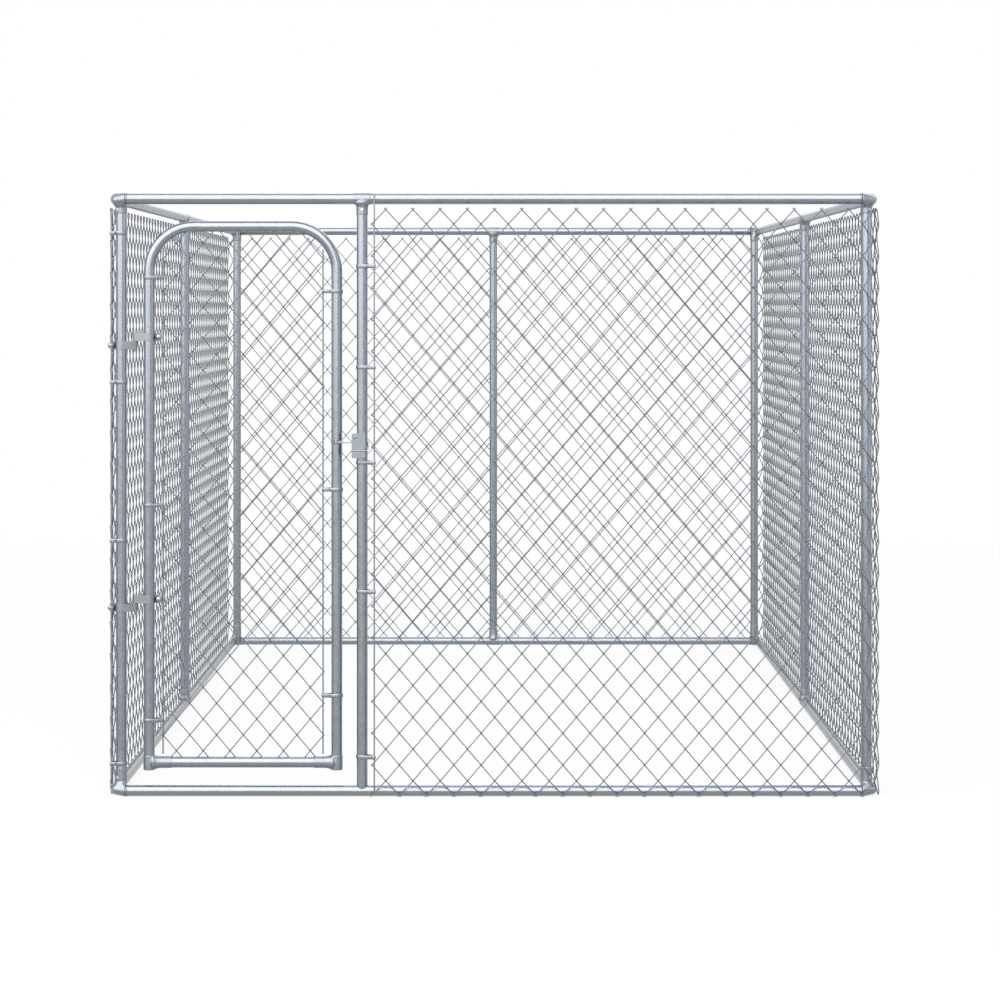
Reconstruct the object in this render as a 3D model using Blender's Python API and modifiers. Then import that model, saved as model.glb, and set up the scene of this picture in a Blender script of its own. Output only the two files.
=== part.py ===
"""Outdoor dog kennel: a galvanised tube frame hung with chain-link fabric, and an arched gate with a latch.

Metres, +Z up. +X is to the right of someone facing the gate, +Y runs from the gate to the rear.
The origin is on the ground at the middle of the kennel.
"""

import math

import bmesh
import bpy
from mathutils import Matrix, Vector

# Clearances
GAP = 0.0003
PIVOT_PLAY = 0.0004

# Tube stock and fittings
TUBE_R = 0.0165
TUBE_WALL = 0.0012
FITTING_WALL = 0.002
SPIGOT_LENGTH = 0.035
TUBE_SIDES = 12
FITTING_SIDES = 12
SHARP_ANGLE = math.radians(35)
MERGE_DISTANCE = 0.00005

# Frame, measured between tube axes
RAIL_SPAN_X = 2.2975
RAIL_SPAN_Y = 4.034
HEIGHT = 1.8305
POST_INSET = 0.017
REAR_POST_LEFT_OF_MIDDLE = 0.0105

# Corner fittings. The casting narrows from its two sleeves and its neck to a rounded shoulder.
CORNER_LEG = 0.037
CORNER_SLEEVE = 0.009
SHOULDER_DROP = 0.004
SHOULDER_INSET = 0.004
SHOULDER_RISE = 0.0035
TOP_COLLAR = 0.002
BOTTOM_COLLAR = 0.043
CORNER_NECK = 0.025

# Tee fittings for the posts between corners
TEE_LENGTH = 0.052
TEE_FLARE_R = 0.0245
TEE_FLARE_START = 0.012
TEE_COLLAR = 0.0045
TEE_BRANCH = 0.030

# Gate
GATE_FROM_POST = 0.085
GATE_WIDTH = 0.570
LATCH_POST_FROM_GATE = 0.0777
GATE_TOP_BELOW_RAIL = 0.083
GATE_BEND_R = 0.137
GATE_BEND_STEPS = 6
STILE_END_Z = 0.0787
GATE_RAIL_ABOVE_END = 0.023
GATE_TEE_LENGTH = 0.044
GATE_TEE_BRANCH = 0.066
GATE_TEE_COLLAR = 0.010

# Chain-link fabric. Each modelled gap stands for LINKS_PER_GAP real links each way.
LINK_WIDTH = 0.0825
LINK_HEIGHT = 0.0966
LINKS_PER_GAP = 4
FABRIC_DEPTH = 0.008
FABRIC_FOOT = 0.003
FABRIC_BELOW_TOP = 0.0465

# Tension bars, and the bands that clamp them to the posts. Bands are placed by their share of the way up.
BAR_R = 0.0025
BAND_WALL = 0.0025
BAND_HEIGHT = 0.012
BAR_END_MARGIN = 0.013
LATCH_BAR_REACH = 0.0376
LATCH_BAR_PROUD = 0.0193
CORNER_BAR_REACH = 0.0288
CORNER_BAR_PROUD = 0.0157
GATE_BAR_REACH = 0.042
LATCH_BANDS = (0.060, 0.336, 0.552, 0.711, 0.880)
CORNER_BANDS = (0.036, 0.423, 0.698, 0.957)
GATE_LEFT_BANDS = (0.067, 0.493, 0.944)
GATE_RIGHT_BANDS = (0.116, 0.524, 0.917)
GRIP = 0.8

# Hinges
UPPER_HINGE_BELOW_GATE_TOP = 0.3487
LOWER_HINGE_ABOVE_STILE_END = 0.5060
HINGE_LEAF_HEIGHT = 0.025
HINGE_WALL = 0.003
PIN_R = 0.004
PIN_HEAD_R = 0.0065
PIN_HEAD_HEIGHT = 0.003
PIN_TAIL = 0.005
PIN_CHAMFER = 0.0012
EAR_LENGTH = 0.015
EAR_THICKNESS = 0.010
EAR_SLIT = 0.0015
BOLT_R = 0.003
BOLT_HEAD_R = 0.0085
BOLT_HEAD_HEIGHT = 0.0045
BOLT_FROM_EAR_END = 0.0046
BOLT_STUB = 0.0025
NUT_R = 0.006
NUT_HEIGHT = 0.005
HARDWARE_SIDES = 10
ROD_SIDES = 8

# Latch on the post between the gate and the front fabric
LATCH_Z = 1.065
LATCH_WIDTH = 0.041
LATCH_HEIGHT = 0.074
LATCH_SHIFT_X = -0.010
LATCH_STRAP_HEIGHT = 0.022
LATCH_STRAP_SIDES = 16
LATCH_WALL = 0.0025
LATCH_PAD_DEPTH = 0.0085
LATCH_PAD_DROP = 0.0247
CATCH_THICKNESS = 0.003
CATCH_RIB_DROP = 0.015
CATCH_RIB_PROUD = 0.004
CATCH_RIB_LEFT_END = 0.0025
CATCH_RIB_RIGHT_END = 0.005
PIVOT_FROM_EDGE = 0.0105
PIVOT_BELOW_TOP = 0.011
PIVOT_R = 0.003
PIVOT_HEAD_R = 0.0055
PIVOT_HEAD_HEIGHT = 0.0025
STRIKER_R = 0.002
STRIKER_BELOW_PIVOT = 0.0165
STRIKER_BEHIND_CATCH = 0.0046
STRIKER_TIP_PAST_EDGE = 0.024
STRIKER_BAND_HEIGHT = 0.010
NOTCH_PLAY = 0.002

# Values worked out from the sizes above
FITTING_R = TUBE_R + FITTING_WALL
SPIGOT_R = (TUBE_R - TUBE_WALL) * math.cos(math.pi / TUBE_SIDES) - GAP
FITTING_FLAT = FITTING_R * math.cos(math.pi / FITTING_SIDES)
BORE_R = (TUBE_R + GAP) / math.cos(math.pi / FITTING_SIDES)
SHOULDER_R = FITTING_R - SHOULDER_DROP
FABRIC_PROUD = TUBE_R + GAP + FABRIC_DEPTH
LATCH_PROUD = TUBE_R + 2 * GAP + LATCH_WALL + LATCH_PAD_DEPTH + CATCH_THICKNESS + CATCH_RIB_PROUD
FRAME_SHIFT_Y = (LATCH_PROUD - FABRIC_PROUD) / 2
SIDE_X = RAIL_SPAN_X / 2
FRONT_Y = FRAME_SHIFT_Y - RAIL_SPAN_Y / 2
REAR_Y = FRAME_SHIFT_Y + RAIL_SPAN_Y / 2
MIDDLE_Y = FRAME_SHIFT_Y
LOW_Z = FITTING_FLAT
HIGH_Z = HEIGHT - FITTING_FLAT
POST_X = SIDE_X - POST_INSET
POST_FRONT_Y = FRONT_Y + POST_INSET
POST_REAR_Y = REAR_Y - POST_INSET
MIDDLES = {
    "rear": (-REAR_POST_LEFT_OF_MIDDLE, REAR_Y),
    "left": (-SIDE_X, MIDDLE_Y),
    "right": (SIDE_X, MIDDLE_Y),
}
TOP_BRANCH = CORNER_NECK + TOP_COLLAR
BOTTOM_BRANCH = CORNER_NECK + BOTTOM_COLLAR
GATE_LEFT_X = -POST_X + GATE_FROM_POST
GATE_RIGHT_X = GATE_LEFT_X + GATE_WIDTH
LATCH_POST_X = GATE_RIGHT_X + LATCH_POST_FROM_GATE
GATE_TOP_Z = HIGH_Z - GATE_TOP_BELOW_RAIL
GATE_RAIL_Z = STILE_END_Z + GATE_RAIL_ABOVE_END
HINGE_X = (GATE_LEFT_X - POST_X) / 2
HINGE_HEIGHTS = {
    "upper": GATE_TOP_Z - UPPER_HINGE_BELOW_GATE_TOP,
    "lower": STILE_END_Z + LOWER_HINGE_ABOVE_STILE_END,
}
EAR_START = TUBE_R + HINGE_WALL / 2
BOLT_REACH = EAR_START + EAR_LENGTH - BOLT_FROM_EAR_END
BAND_NOSE = BAR_R * GRIP + BAND_WALL
FABRIC_OFFSET = TUBE_R + GAP + FABRIC_DEPTH / 2
FABRIC_TOP_Z = HEIGHT - FABRIC_BELOW_TOP
LATCH_LEFT_X = LATCH_POST_X + LATCH_SHIFT_X - LATCH_WIDTH / 2
LATCH_TOP_Z = LATCH_Z + LATCH_HEIGHT / 2
PIVOT_X = LATCH_LEFT_X + PIVOT_FROM_EDGE
PIVOT_Z = LATCH_TOP_Z - PIVOT_BELOW_TOP
STRIKER_Z = PIVOT_Z - STRIKER_BELOW_PIVOT
PAD_BACK_Y = FRONT_Y - TUBE_R - GAP
PAD_FRONT_Y = PAD_BACK_Y - LATCH_WALL - LATCH_PAD_DEPTH
CATCH_BACK_Y = PAD_FRONT_Y - GAP
CATCH_FRONT_Y = CATCH_BACK_Y - CATCH_THICKNESS
STRIKER_Y = PAD_FRONT_Y + STRIKER_BEHIND_CATCH

X_AXIS = Vector((1, 0, 0))
Y_AXIS = Vector((0, 1, 0))
Z_AXIS = Vector((0, 0, 1))


def clear_scene():
    for obj in list(bpy.data.objects):
        bpy.data.objects.remove(obj, do_unlink=True)


def material(name, color, metallic, roughness):
    made = bpy.data.materials.new(name)
    made.use_nodes = True
    shader = made.node_tree.nodes["Principled BSDF"]
    shader.inputs["Base Color"].default_value = (*color, 1.0)
    shader.inputs["Metallic"].default_value = metallic
    shader.inputs["Roughness"].default_value = roughness
    return made


def mesh_object(name, mesh):
    made = bpy.data.objects.new(name, mesh)
    parts.objects.link(made)
    return made


def baked(obj):
    """The object with its modifiers or curve bevel turned into plain mesh, in the same place."""
    graph = bpy.context.evaluated_depsgraph_get()
    mesh = bpy.data.meshes.new_from_object(obj.evaluated_get(graph))
    bm = bmesh.new()
    bm.from_mesh(mesh)
    bmesh.ops.remove_doubles(bm, verts=bm.verts, dist=MERGE_DISTANCE)
    bm.transform(obj.matrix_world)
    bm.to_mesh(mesh)
    bm.free()
    name = obj.name
    bpy.data.objects.remove(obj, do_unlink=True)
    return mesh_object(name, mesh)


def combine(base, others, operation):
    """The base after a Boolean with each of the other solids, which are used up."""
    for other in others:
        step = base.modifiers.new(operation.title(), "BOOLEAN")
        step.operation = operation
        step.object = other
        step.solver = "EXACT"
    bpy.context.view_layer.update()
    made = baked(base)
    for other in others:
        bpy.data.objects.remove(other, do_unlink=True)
    return made


def finish(obj, name, surface, place=None):
    """Names the finished piece, gives it its material and smooth shading, and moves it into place."""
    obj.name = name
    obj.data.name = name
    obj.data.materials.clear()
    obj.data.materials.append(surface)
    obj.data.shade_smooth()
    obj.data.set_sharp_from_angle(angle=SHARP_ANGLE)
    if place is not None:
        obj.matrix_world = place
    return obj


def sweep(points, radius, sides, capped=True, flat_down=False):
    """A round bar along straight stretches between points, on an edge or on a flat of its facets."""
    curve = bpy.data.curves.new("sweep", "CURVE")
    curve.dimensions = "3D"
    curve.bevel_depth = radius
    curve.bevel_resolution = sides // 2 - 2
    curve.use_fill_caps = capped
    spline = curve.splines.new("POLY")
    spline.points.add(len(points) - 1)
    for point, place in zip(spline.points, points):
        point.co = (*place, 1.0)
        point.tilt = math.pi / sides if flat_down else 0.0
    obj = bpy.data.objects.new("sweep", curve)
    parts.objects.link(obj)
    bpy.context.view_layer.update()
    return baked(obj)


def tube(name, points, surface):
    """A hollow tube, open at both ends."""
    obj = sweep(points, TUBE_R, TUBE_SIDES, capped=False)
    wall = obj.modifiers.new("Wall", "SOLIDIFY")
    wall.thickness = TUBE_WALL
    wall.offset = -1
    wall.use_even_offset = True
    return finish(obj, name, surface)


def turned(profile, sides=FITTING_SIDES):
    """A solid of revolution about Z. The profile is (radius, height) from the top to the bottom."""
    mesh = bpy.data.meshes.new("turned")
    points = [(radius, 0, height) for radius, height in profile]
    mesh.from_pydata(points, [(i, i + 1) for i in range(len(points) - 1)], [])
    obj = mesh_object("turned", mesh)
    screw = obj.modifiers.new("Screw", "SCREW")
    screw.steps = screw.render_steps = sides
    screw.use_merge_vertices = True
    screw.merge_threshold = MERGE_DISTANCE
    bpy.context.view_layer.update()
    return baked(obj)


def block(low, high):
    bm = bmesh.new()
    bmesh.ops.create_cube(bm, size=1)
    size = Vector(high) - Vector(low)
    bmesh.ops.scale(bm, vec=size, verts=bm.verts)
    bmesh.ops.translate(bm, vec=Vector(low) + size / 2, verts=bm.verts)
    mesh = bpy.data.meshes.new("block")
    bm.to_mesh(mesh)
    bm.free()
    return mesh_object("block", mesh)


def drum(start, end, radius, flat_down=False):
    return sweep([start, end], radius, FITTING_SIDES, flat_down=flat_down)


def rod(start, end, radius):
    return sweep([start, end], radius, ROD_SIDES)


def outline(loops, height):
    """A flat plate in the XY plane from closed outlines, the first outside the others, centred on z = 0."""
    curve = bpy.data.curves.new("outline", "CURVE")
    curve.dimensions = "2D"
    curve.fill_mode = "BOTH"
    curve.extrude = height / 2
    for loop in loops:
        spline = curve.splines.new("POLY")
        spline.points.add(len(loop) - 1)
        for point, (x, y) in zip(spline.points, loop):
            point.co = (x, y, 0, 1)
        spline.use_cyclic_u = True
    obj = bpy.data.objects.new("outline", curve)
    parts.objects.link(obj)
    bpy.context.view_layer.update()
    return baked(obj)


def arc(centre, radius, start, end, steps):
    """Points in the plane round a centre, from one angle to another."""
    angles = [start + (end - start) * i / steps for i in range(steps + 1)]
    return [(centre[0] + radius * math.cos(a), centre[1] + radius * math.sin(a)) for a in angles]


def belt(big, big_r, small, small_r, big_steps=9, small_steps=3):
    """The outline of a belt drawn tight round two circles."""
    across = Vector(small) - Vector(big)
    heading = math.atan2(across.y, across.x)
    tilt = math.acos((big_r - small_r) / across.length)
    around = arc(big, big_r, heading + tilt, heading + 2 * math.pi - tilt, big_steps)
    return around + arc(small, small_r, heading - tilt, heading + tilt, small_steps)


def dome(radius, base, height, steps=3):
    """The profile of a rounded head, from its top down to its rim."""
    angles = [math.pi / 2 * i / steps for i in range(steps + 1)]
    return [(radius * math.sin(a), base + height * math.cos(a)) for a in angles]


def strap(tube_at, bar_at, bar_r, wall, height):
    """A strap bent round a tube and closed round a bar beside it. The inner outline grips both."""
    outer = belt(tube_at, BORE_R + wall, bar_at, bar_r + wall)
    inner = belt(tube_at, BORE_R, bar_at, bar_r)
    return outline([outer, inner], height)


def translate(obj, x=0.0, y=0.0, z=0.0):
    obj.data.transform(Matrix.Translation((x, y, z)))
    return obj


def turn(obj, degrees, axis):
    obj.data.transform(Matrix.Rotation(math.radians(degrees), 4, axis))
    return obj


# Frame fittings
def branch(inset, collar, reach, root):
    """The upright neck of a fitting: a collar on the given root, and the spigot that the tube slides over."""
    profile = [
        (0, reach + SPIGOT_LENGTH),
        (SPIGOT_R, reach + SPIGOT_LENGTH),
        (SPIGOT_R, reach),
        (FITTING_R, reach),
        (FITTING_R, reach - collar),
        *root,
        (0, root[-1][1]),
    ]
    return translate(turned(profile), inset, inset)


def shoulder_points():
    """Points of the rounded shoulder where the outer sides of the two sleeves meet."""
    bm = bmesh.new()
    place = Matrix.Translation((SHOULDER_INSET, SHOULDER_INSET, SHOULDER_RISE))
    bmesh.ops.create_icosphere(bm, subdivisions=2, radius=SHOULDER_R, matrix=place)
    points = [tuple(vert.co) for vert in bm.verts]
    bm.free()
    return points


def casting_skin():
    """A skin stretched over the shoulder, the ends of two sleeves at right angles and the neck's foot."""
    arm = CORNER_LEG - CORNER_SLEEVE
    facet = math.pi / FITTING_SIDES
    points = shoulder_points()
    for u, v in arc((0, 0), FITTING_R, facet, facet + math.tau, FITTING_SIDES)[1:]:
        points += [(arm, u, v), (u, arm, v)]
    for x, y in arc((POST_INSET, POST_INSET), FITTING_R, 0, math.tau, FITTING_SIDES)[1:]:
        points.append((x, y, CORNER_NECK))
    bm = bmesh.new()
    for point in points:
        bm.verts.new(point)
    bmesh.ops.convex_hull(bm, input=bm.verts[:])
    inside = [vert for vert in bm.verts if not vert.link_faces]
    bmesh.ops.delete(bm, geom=inside, context="VERTS")
    bmesh.ops.recalc_face_normals(bm, faces=bm.faces[:])
    mesh = bpy.data.meshes.new("casting")
    bm.to_mesh(mesh)
    bm.free()
    return mesh_object("casting", mesh)


def corner_fitting(name, collar, surface, place):
    """A three-way elbow: two sleeves that take the rails, with the post's neck on their inner side."""
    arm = CORNER_LEG - CORNER_SLEEVE
    spigot_end = CORNER_LEG + SPIGOT_LENGTH
    pieces = []
    for heading in (X_AXIS, Y_AXIS):
        pieces.append(drum(heading * arm, heading * CORNER_LEG, FITTING_R, flat_down=True))
        pieces.append(drum(heading * (arm + CORNER_LEG) / 2, heading * spigot_end, SPIGOT_R))
    pieces.append(branch(POST_INSET, collar, CORNER_NECK + collar, [(SPIGOT_R / 3, 0)]))
    made = combine(casting_skin(), pieces, "UNION")
    return finish(made, name, surface, place)


def tee_fitting(name, length, collar, reach, surface, place):
    """A sleeve that slides along a tube on the local X axis, with a flared neck on +Z for the next tube."""
    sleeve = drum((-length / 2, 0, 0), (length / 2, 0, 0), FITTING_R, flat_down=True)
    waist = TEE_FLARE_START + FITTING_R - TEE_FLARE_R
    root = [(TEE_FLARE_R, TEE_FLARE_START), (FITTING_R, waist), (SPIGOT_R, 0)]
    neck = branch(0, collar, reach, root)
    made = combine(sleeve, [neck], "UNION")
    bore = drum((-length, 0, 0), (length, 0, 0), BORE_R, flat_down=True)
    made = combine(made, [bore], "DIFFERENCE")
    return finish(made, name, surface, place)


def make_corners(surface):
    places = {
        "front_left": (-SIDE_X, FRONT_Y, 0),
        "front_right": (SIDE_X, FRONT_Y, 90),
        "rear_right": (SIDE_X, REAR_Y, 180),
        "rear_left": (-SIDE_X, REAR_Y, 270),
    }
    upside_down = Matrix.Rotation(math.pi, 4, X_AXIS) @ Matrix.Rotation(math.radians(-90), 4, Z_AXIS)
    for corner, (x, y, heading) in places.items():
        spin = Matrix.Rotation(math.radians(heading), 4, Z_AXIS)
        low = Matrix.Translation((x, y, LOW_Z)) @ spin
        high = Matrix.Translation((x, y, HIGH_Z)) @ spin @ upside_down
        corner_fitting(f"corner_bottom_{corner}", BOTTOM_COLLAR, surface, low)
        corner_fitting(f"corner_top_{corner}", TOP_COLLAR, surface, high)


def make_rails(surface):
    inset = CORNER_LEG + GAP
    for level, z in (("bottom", LOW_Z), ("top", HIGH_Z)):
        for side, y in (("front", FRONT_Y), ("rear", REAR_Y)):
            ends = [(-SIDE_X + inset, y, z), (SIDE_X - inset, y, z)]
            tube(f"rail_{level}_{side}", ends, surface)
        for side, x in (("left", -SIDE_X), ("right", SIDE_X)):
            ends = [(x, FRONT_Y + inset, z), (x, REAR_Y - inset, z)]
            tube(f"rail_{level}_{side}", ends, surface)


def make_posts(surface):
    low = LOW_Z + BOTTOM_BRANCH + GAP
    high = HIGH_Z - TOP_BRANCH - GAP
    for depth, y in (("front", POST_FRONT_Y), ("rear", POST_REAR_Y)):
        for side, x in (("left", -POST_X), ("right", POST_X)):
            tube(f"post_{depth}_{side}", [(x, y, low), (x, y, high)], surface)
    low = LOW_Z + TEE_BRANCH + GAP
    high = HIGH_Z - TEE_BRANCH - GAP
    for side, (x, y) in MIDDLES.items():
        tube(f"post_middle_{side}", [(x, y, low), (x, y, high)], surface)


def make_latch_post(surface):
    """The gate's second post. Its foot is cut to sit on the bottom rail."""
    ends = [(LATCH_POST_X, FRONT_Y, LOW_Z), (LATCH_POST_X, FRONT_Y, HIGH_Z - TEE_BRANCH - GAP)]
    post = baked(tube("latch_post", ends, surface))
    reach = 2 * FITTING_R
    left = LATCH_POST_X - reach
    right = LATCH_POST_X + reach
    rail = drum((left, FRONT_Y, LOW_Z), (right, FRONT_Y, LOW_Z), BORE_R)
    below = block((left, FRONT_Y - reach, LOW_Z - reach), (right, FRONT_Y + reach, LOW_Z + TUBE_R / 2))
    finish(combine(post, [rail, below], "DIFFERENCE"), "latch_post", surface)


def make_tees(surface):
    quarter = Matrix.Rotation(math.pi / 2, 4, Z_AXIS)
    flip = Matrix.Rotation(math.pi, 4, X_AXIS)
    for side, (x, y) in MIDDLES.items():
        heading = Matrix.Identity(4) if side == "rear" else quarter
        low = Matrix.Translation((x, y, LOW_Z)) @ heading
        high = Matrix.Translation((x, y, HIGH_Z)) @ heading @ flip
        tee_fitting(f"tee_bottom_{side}", TEE_LENGTH, TEE_COLLAR, TEE_BRANCH, surface, low)
        tee_fitting(f"tee_top_{side}", TEE_LENGTH, TEE_COLLAR, TEE_BRANCH, surface, high)
    high = Matrix.Translation((LATCH_POST_X, FRONT_Y, HIGH_Z)) @ flip
    tee_fitting("tee_top_front", TEE_LENGTH, TEE_COLLAR, TEE_BRANCH, surface, high)


# Chain-link fabric and the bars that stretch it
def fabric(name, width, height, surface, place):
    """A flat net of whole diamonds in the local XZ plane, filling width by height about its middle."""
    across = 2 * max(1, round(width / (2 * LINK_WIDTH * LINKS_PER_GAP)))
    up = max(2, round(height / (LINK_HEIGHT * LINKS_PER_GAP)))
    slope = math.atan2(height / up, width / across)
    pitch_x = (width - FABRIC_DEPTH / math.sin(slope)) / across
    pitch_z = (height - FABRIC_DEPTH / math.cos(slope)) / up
    cells = 2 * math.ceil((across + up) / 2) + 2
    half_diamond = 0.5
    inner_x = (across - half_diamond) / 2
    inner_z = (up - half_diamond) / 2
    bm = bmesh.new()
    bmesh.ops.create_grid(bm, x_segments=cells, y_segments=cells, size=cells / 2)
    bmesh.ops.rotate(bm, cent=(0, 0, 0), matrix=Matrix.Rotation(math.pi / 4, 3, "Z"), verts=bm.verts)
    bmesh.ops.scale(bm, vec=(math.sqrt(0.5),) * 3, verts=bm.verts)
    if up % 2 == 0:
        bmesh.ops.translate(bm, vec=(0, half_diamond, 0), verts=bm.verts)
    outside = []
    for face in bm.faces:
        centre = face.calc_center_median()
        if abs(centre.x) > inner_x or abs(centre.y) > inner_z:
            outside.append(face)
    bmesh.ops.delete(bm, geom=outside, context="FACES")
    bmesh.ops.scale(bm, vec=(pitch_x, pitch_z, 1), verts=bm.verts)
    bmesh.ops.rotate(bm, cent=(0, 0, 0), matrix=Matrix.Rotation(math.pi / 2, 3, "X"), verts=bm.verts)
    mesh = bpy.data.meshes.new(name)
    bm.to_mesh(mesh)
    bm.free()
    obj = mesh_object(name, mesh)
    wires = obj.modifiers.new("Wires", "WIREFRAME")
    wires.thickness = FABRIC_DEPTH
    wires.use_even_offset = True
    wires.use_boundary = True
    wires.use_replace = True
    wires.use_relative_offset = False
    return finish(obj, name, surface, place)


def upright(x, y, z, degrees):
    return Matrix.Translation((x, y, z)) @ Matrix.Rotation(math.radians(degrees), 4, Z_AXIS)


def make_fabric(surface):
    height = FABRIC_TOP_Z - FABRIC_FOOT
    middle_z = (FABRIC_TOP_Z + FABRIC_FOOT) / 2
    corner_x = SIDE_X + TUBE_R
    front_y = FRONT_Y - FABRIC_OFFSET
    left = LATCH_POST_X + LATCH_BAR_REACH + BAND_NOSE + GAP
    place = upright((corner_x + left) / 2, front_y, middle_z, 0)
    fabric("fabric_front", corner_x - left, height, surface, place)
    rear_y = REAR_Y + FABRIC_OFFSET
    fabric("fabric_rear", 2 * corner_x, height, surface, upright(0, rear_y, middle_z, 0))
    side_x = SIDE_X + FABRIC_OFFSET
    depth = RAIL_SPAN_Y + 2 * TUBE_R
    fabric("fabric_left", depth, height, surface, upright(-side_x, MIDDLE_Y, middle_z, 90))
    fabric("fabric_right", depth, height, surface, upright(side_x, MIDDLE_Y, middle_z, 90))


def tension_bar(name, post, reach, ends, shares, surface):
    """A bar threaded through the fabric's edge, with the bands that hold it to a post."""
    bar_at = (post[0] + reach[0], post[1] + reach[1])
    low, high = ends
    bar = rod((*bar_at, low), (*bar_at, high), BAR_R)
    bands = []
    for share in shares:
        band = strap(post, bar_at, BAR_R * GRIP, BAND_WALL, BAND_HEIGHT)
        bands.append(translate(band, z=low + share * (high - low)))
    return finish(combine(bar, bands, "UNION"), name, surface)


def make_tension_bars(surface):
    ends = (LOW_Z + BAR_END_MARGIN - FITTING_R, HIGH_Z + BAR_END_MARGIN)
    latch = (LATCH_POST_X, FRONT_Y)
    reach = (LATCH_BAR_REACH, -LATCH_BAR_PROUD)
    tension_bar("tension_bar_front", latch, reach, ends, LATCH_BANDS, surface)
    corner = (-POST_X, POST_FRONT_Y)
    ends = (LOW_Z + SHOULDER_RISE + SHOULDER_R, FABRIC_TOP_Z)
    reach = (-CORNER_BAR_REACH, -CORNER_BAR_PROUD)
    tension_bar("tension_bar_left", corner, reach, ends, CORNER_BANDS, surface)


# Gate
def gate_arch_z(x):
    """Height of the underside of the arch above a place between the stiles."""
    from_stile = min(x - GATE_LEFT_X, GATE_RIGHT_X - x)
    inner_r = GATE_BEND_R - FITTING_R
    sideways = max(0.0, GATE_BEND_R - from_stile)
    return GATE_TOP_Z - GATE_BEND_R + math.sqrt(inner_r**2 - sideways**2)


def make_gate_frame(surface, fittings):
    bend_z = GATE_TOP_Z - GATE_BEND_R
    left_centre = (GATE_LEFT_X + GATE_BEND_R, bend_z)
    right_centre = (GATE_RIGHT_X - GATE_BEND_R, bend_z)
    left = arc(left_centre, GATE_BEND_R, math.pi, math.pi / 2, GATE_BEND_STEPS)
    right = arc(right_centre, GATE_BEND_R, math.pi / 2, 0, GATE_BEND_STEPS)
    route = [(GATE_LEFT_X, STILE_END_Z), *left, *right, (GATE_RIGHT_X, STILE_END_Z)]
    tube("gate_arch", [(x, POST_FRONT_Y, z) for x, z in route], surface)
    inset = GATE_TEE_BRANCH + GAP
    places = (GATE_LEFT_X + inset, GATE_RIGHT_X - inset)
    tube("gate_bottom_rail", [(x, POST_FRONT_Y, GATE_RAIL_Z) for x in places], surface)
    for side, x, heading in (("left", GATE_LEFT_X, 1), ("right", GATE_RIGHT_X, -1)):
        lean = Matrix.Rotation(heading * math.pi / 2, 4, Y_AXIS)
        place = Matrix.Translation((x, POST_FRONT_Y, GATE_RAIL_Z)) @ lean
        tee_fitting(f"gate_tee_{side}", GATE_TEE_LENGTH, GATE_TEE_COLLAR, GATE_TEE_BRANCH, fittings, place)


def make_gate_fabric(surface, bars):
    left = GATE_LEFT_X + GATE_BAR_REACH
    right = GATE_RIGHT_X - GATE_BAR_REACH
    low = GATE_RAIL_Z + TEE_FLARE_R + GAP
    high = GATE_TOP_Z - TUBE_R - GAP
    width = right - left - 2 * (BAND_NOSE + GAP)
    place = upright((left + right) / 2, POST_FRONT_Y, (low + high) / 2, 0)
    fabric("gate_fabric", width, high - low, surface, place)
    ends = (low, gate_arch_z(left - BAR_R) - GAP)
    stile = (GATE_LEFT_X, POST_FRONT_Y)
    tension_bar("gate_tension_bar_left", stile, (GATE_BAR_REACH, 0), ends, GATE_LEFT_BANDS, bars)
    stile = (GATE_RIGHT_X, POST_FRONT_Y)
    tension_bar("gate_tension_bar_right", stile, (-GATE_BAR_REACH, 0), ends, GATE_RIGHT_BANDS, bars)


# Hinges
def hinge_leaf(name, tube_x, z, surface):
    """A clamp round a tube that also closes round the hinge pin, with bolted ears on its far side."""
    outwards = -1 if tube_x < HINGE_X else 1
    at = (tube_x, POST_FRONT_Y)
    pin = (HINGE_X, POST_FRONT_Y)
    barrel_r = (PIN_R + PIVOT_PLAY) / math.cos(math.pi / ROD_SIDES)
    leaf = strap(at, pin, barrel_r, HINGE_WALL, HINGE_LEAF_HEIGHT)
    half = HINGE_LEAF_HEIGHT / 2
    ear = block((EAR_START, -EAR_THICKNESS / 2, -half), (EAR_START + EAR_LENGTH, EAR_THICKNESS / 2, half))
    slit_end = EAR_START + 2 * EAR_LENGTH
    slit = block((TUBE_R / 2, -EAR_SLIT / 2, -2 * half), (slit_end, EAR_SLIT / 2, 2 * half))
    hole = rod((BOLT_REACH, -EAR_LENGTH, 0), (BOLT_REACH, EAR_LENGTH, 0), BOLT_R + GAP)
    for piece in (ear, slit, hole):
        if outwards < 0:
            turn(piece, 180, "Z")
        translate(piece, tube_x, POST_FRONT_Y)
    made = combine(combine(leaf, [ear], "UNION"), [slit, hole], "DIFFERENCE")
    return finish(translate(made, z=z), name, surface)


def carriage_bolt(name, tube_x, z, surface):
    """A domed bolt through a leaf's ears, head to the front, with its nut behind."""
    outwards = -1 if tube_x < HINGE_X else 1
    face = EAR_THICKNESS / 2 + GAP
    nut_end = -face - NUT_HEIGHT
    profile = [
        *dome(BOLT_HEAD_R, face, BOLT_HEAD_HEIGHT),
        (BOLT_R - GAP, face),
        (BOLT_R - GAP, -face),
        (NUT_R, -face),
        (NUT_R, nut_end),
        (BOLT_R, nut_end),
        (BOLT_R, nut_end - BOLT_STUB),
        (0, nut_end - BOLT_STUB),
    ]
    bolt = turn(turned(profile, HARDWARE_SIDES), 90, "X")
    return finish(translate(bolt, tube_x + outwards * BOLT_REACH, POST_FRONT_Y, z), name, surface)


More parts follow.
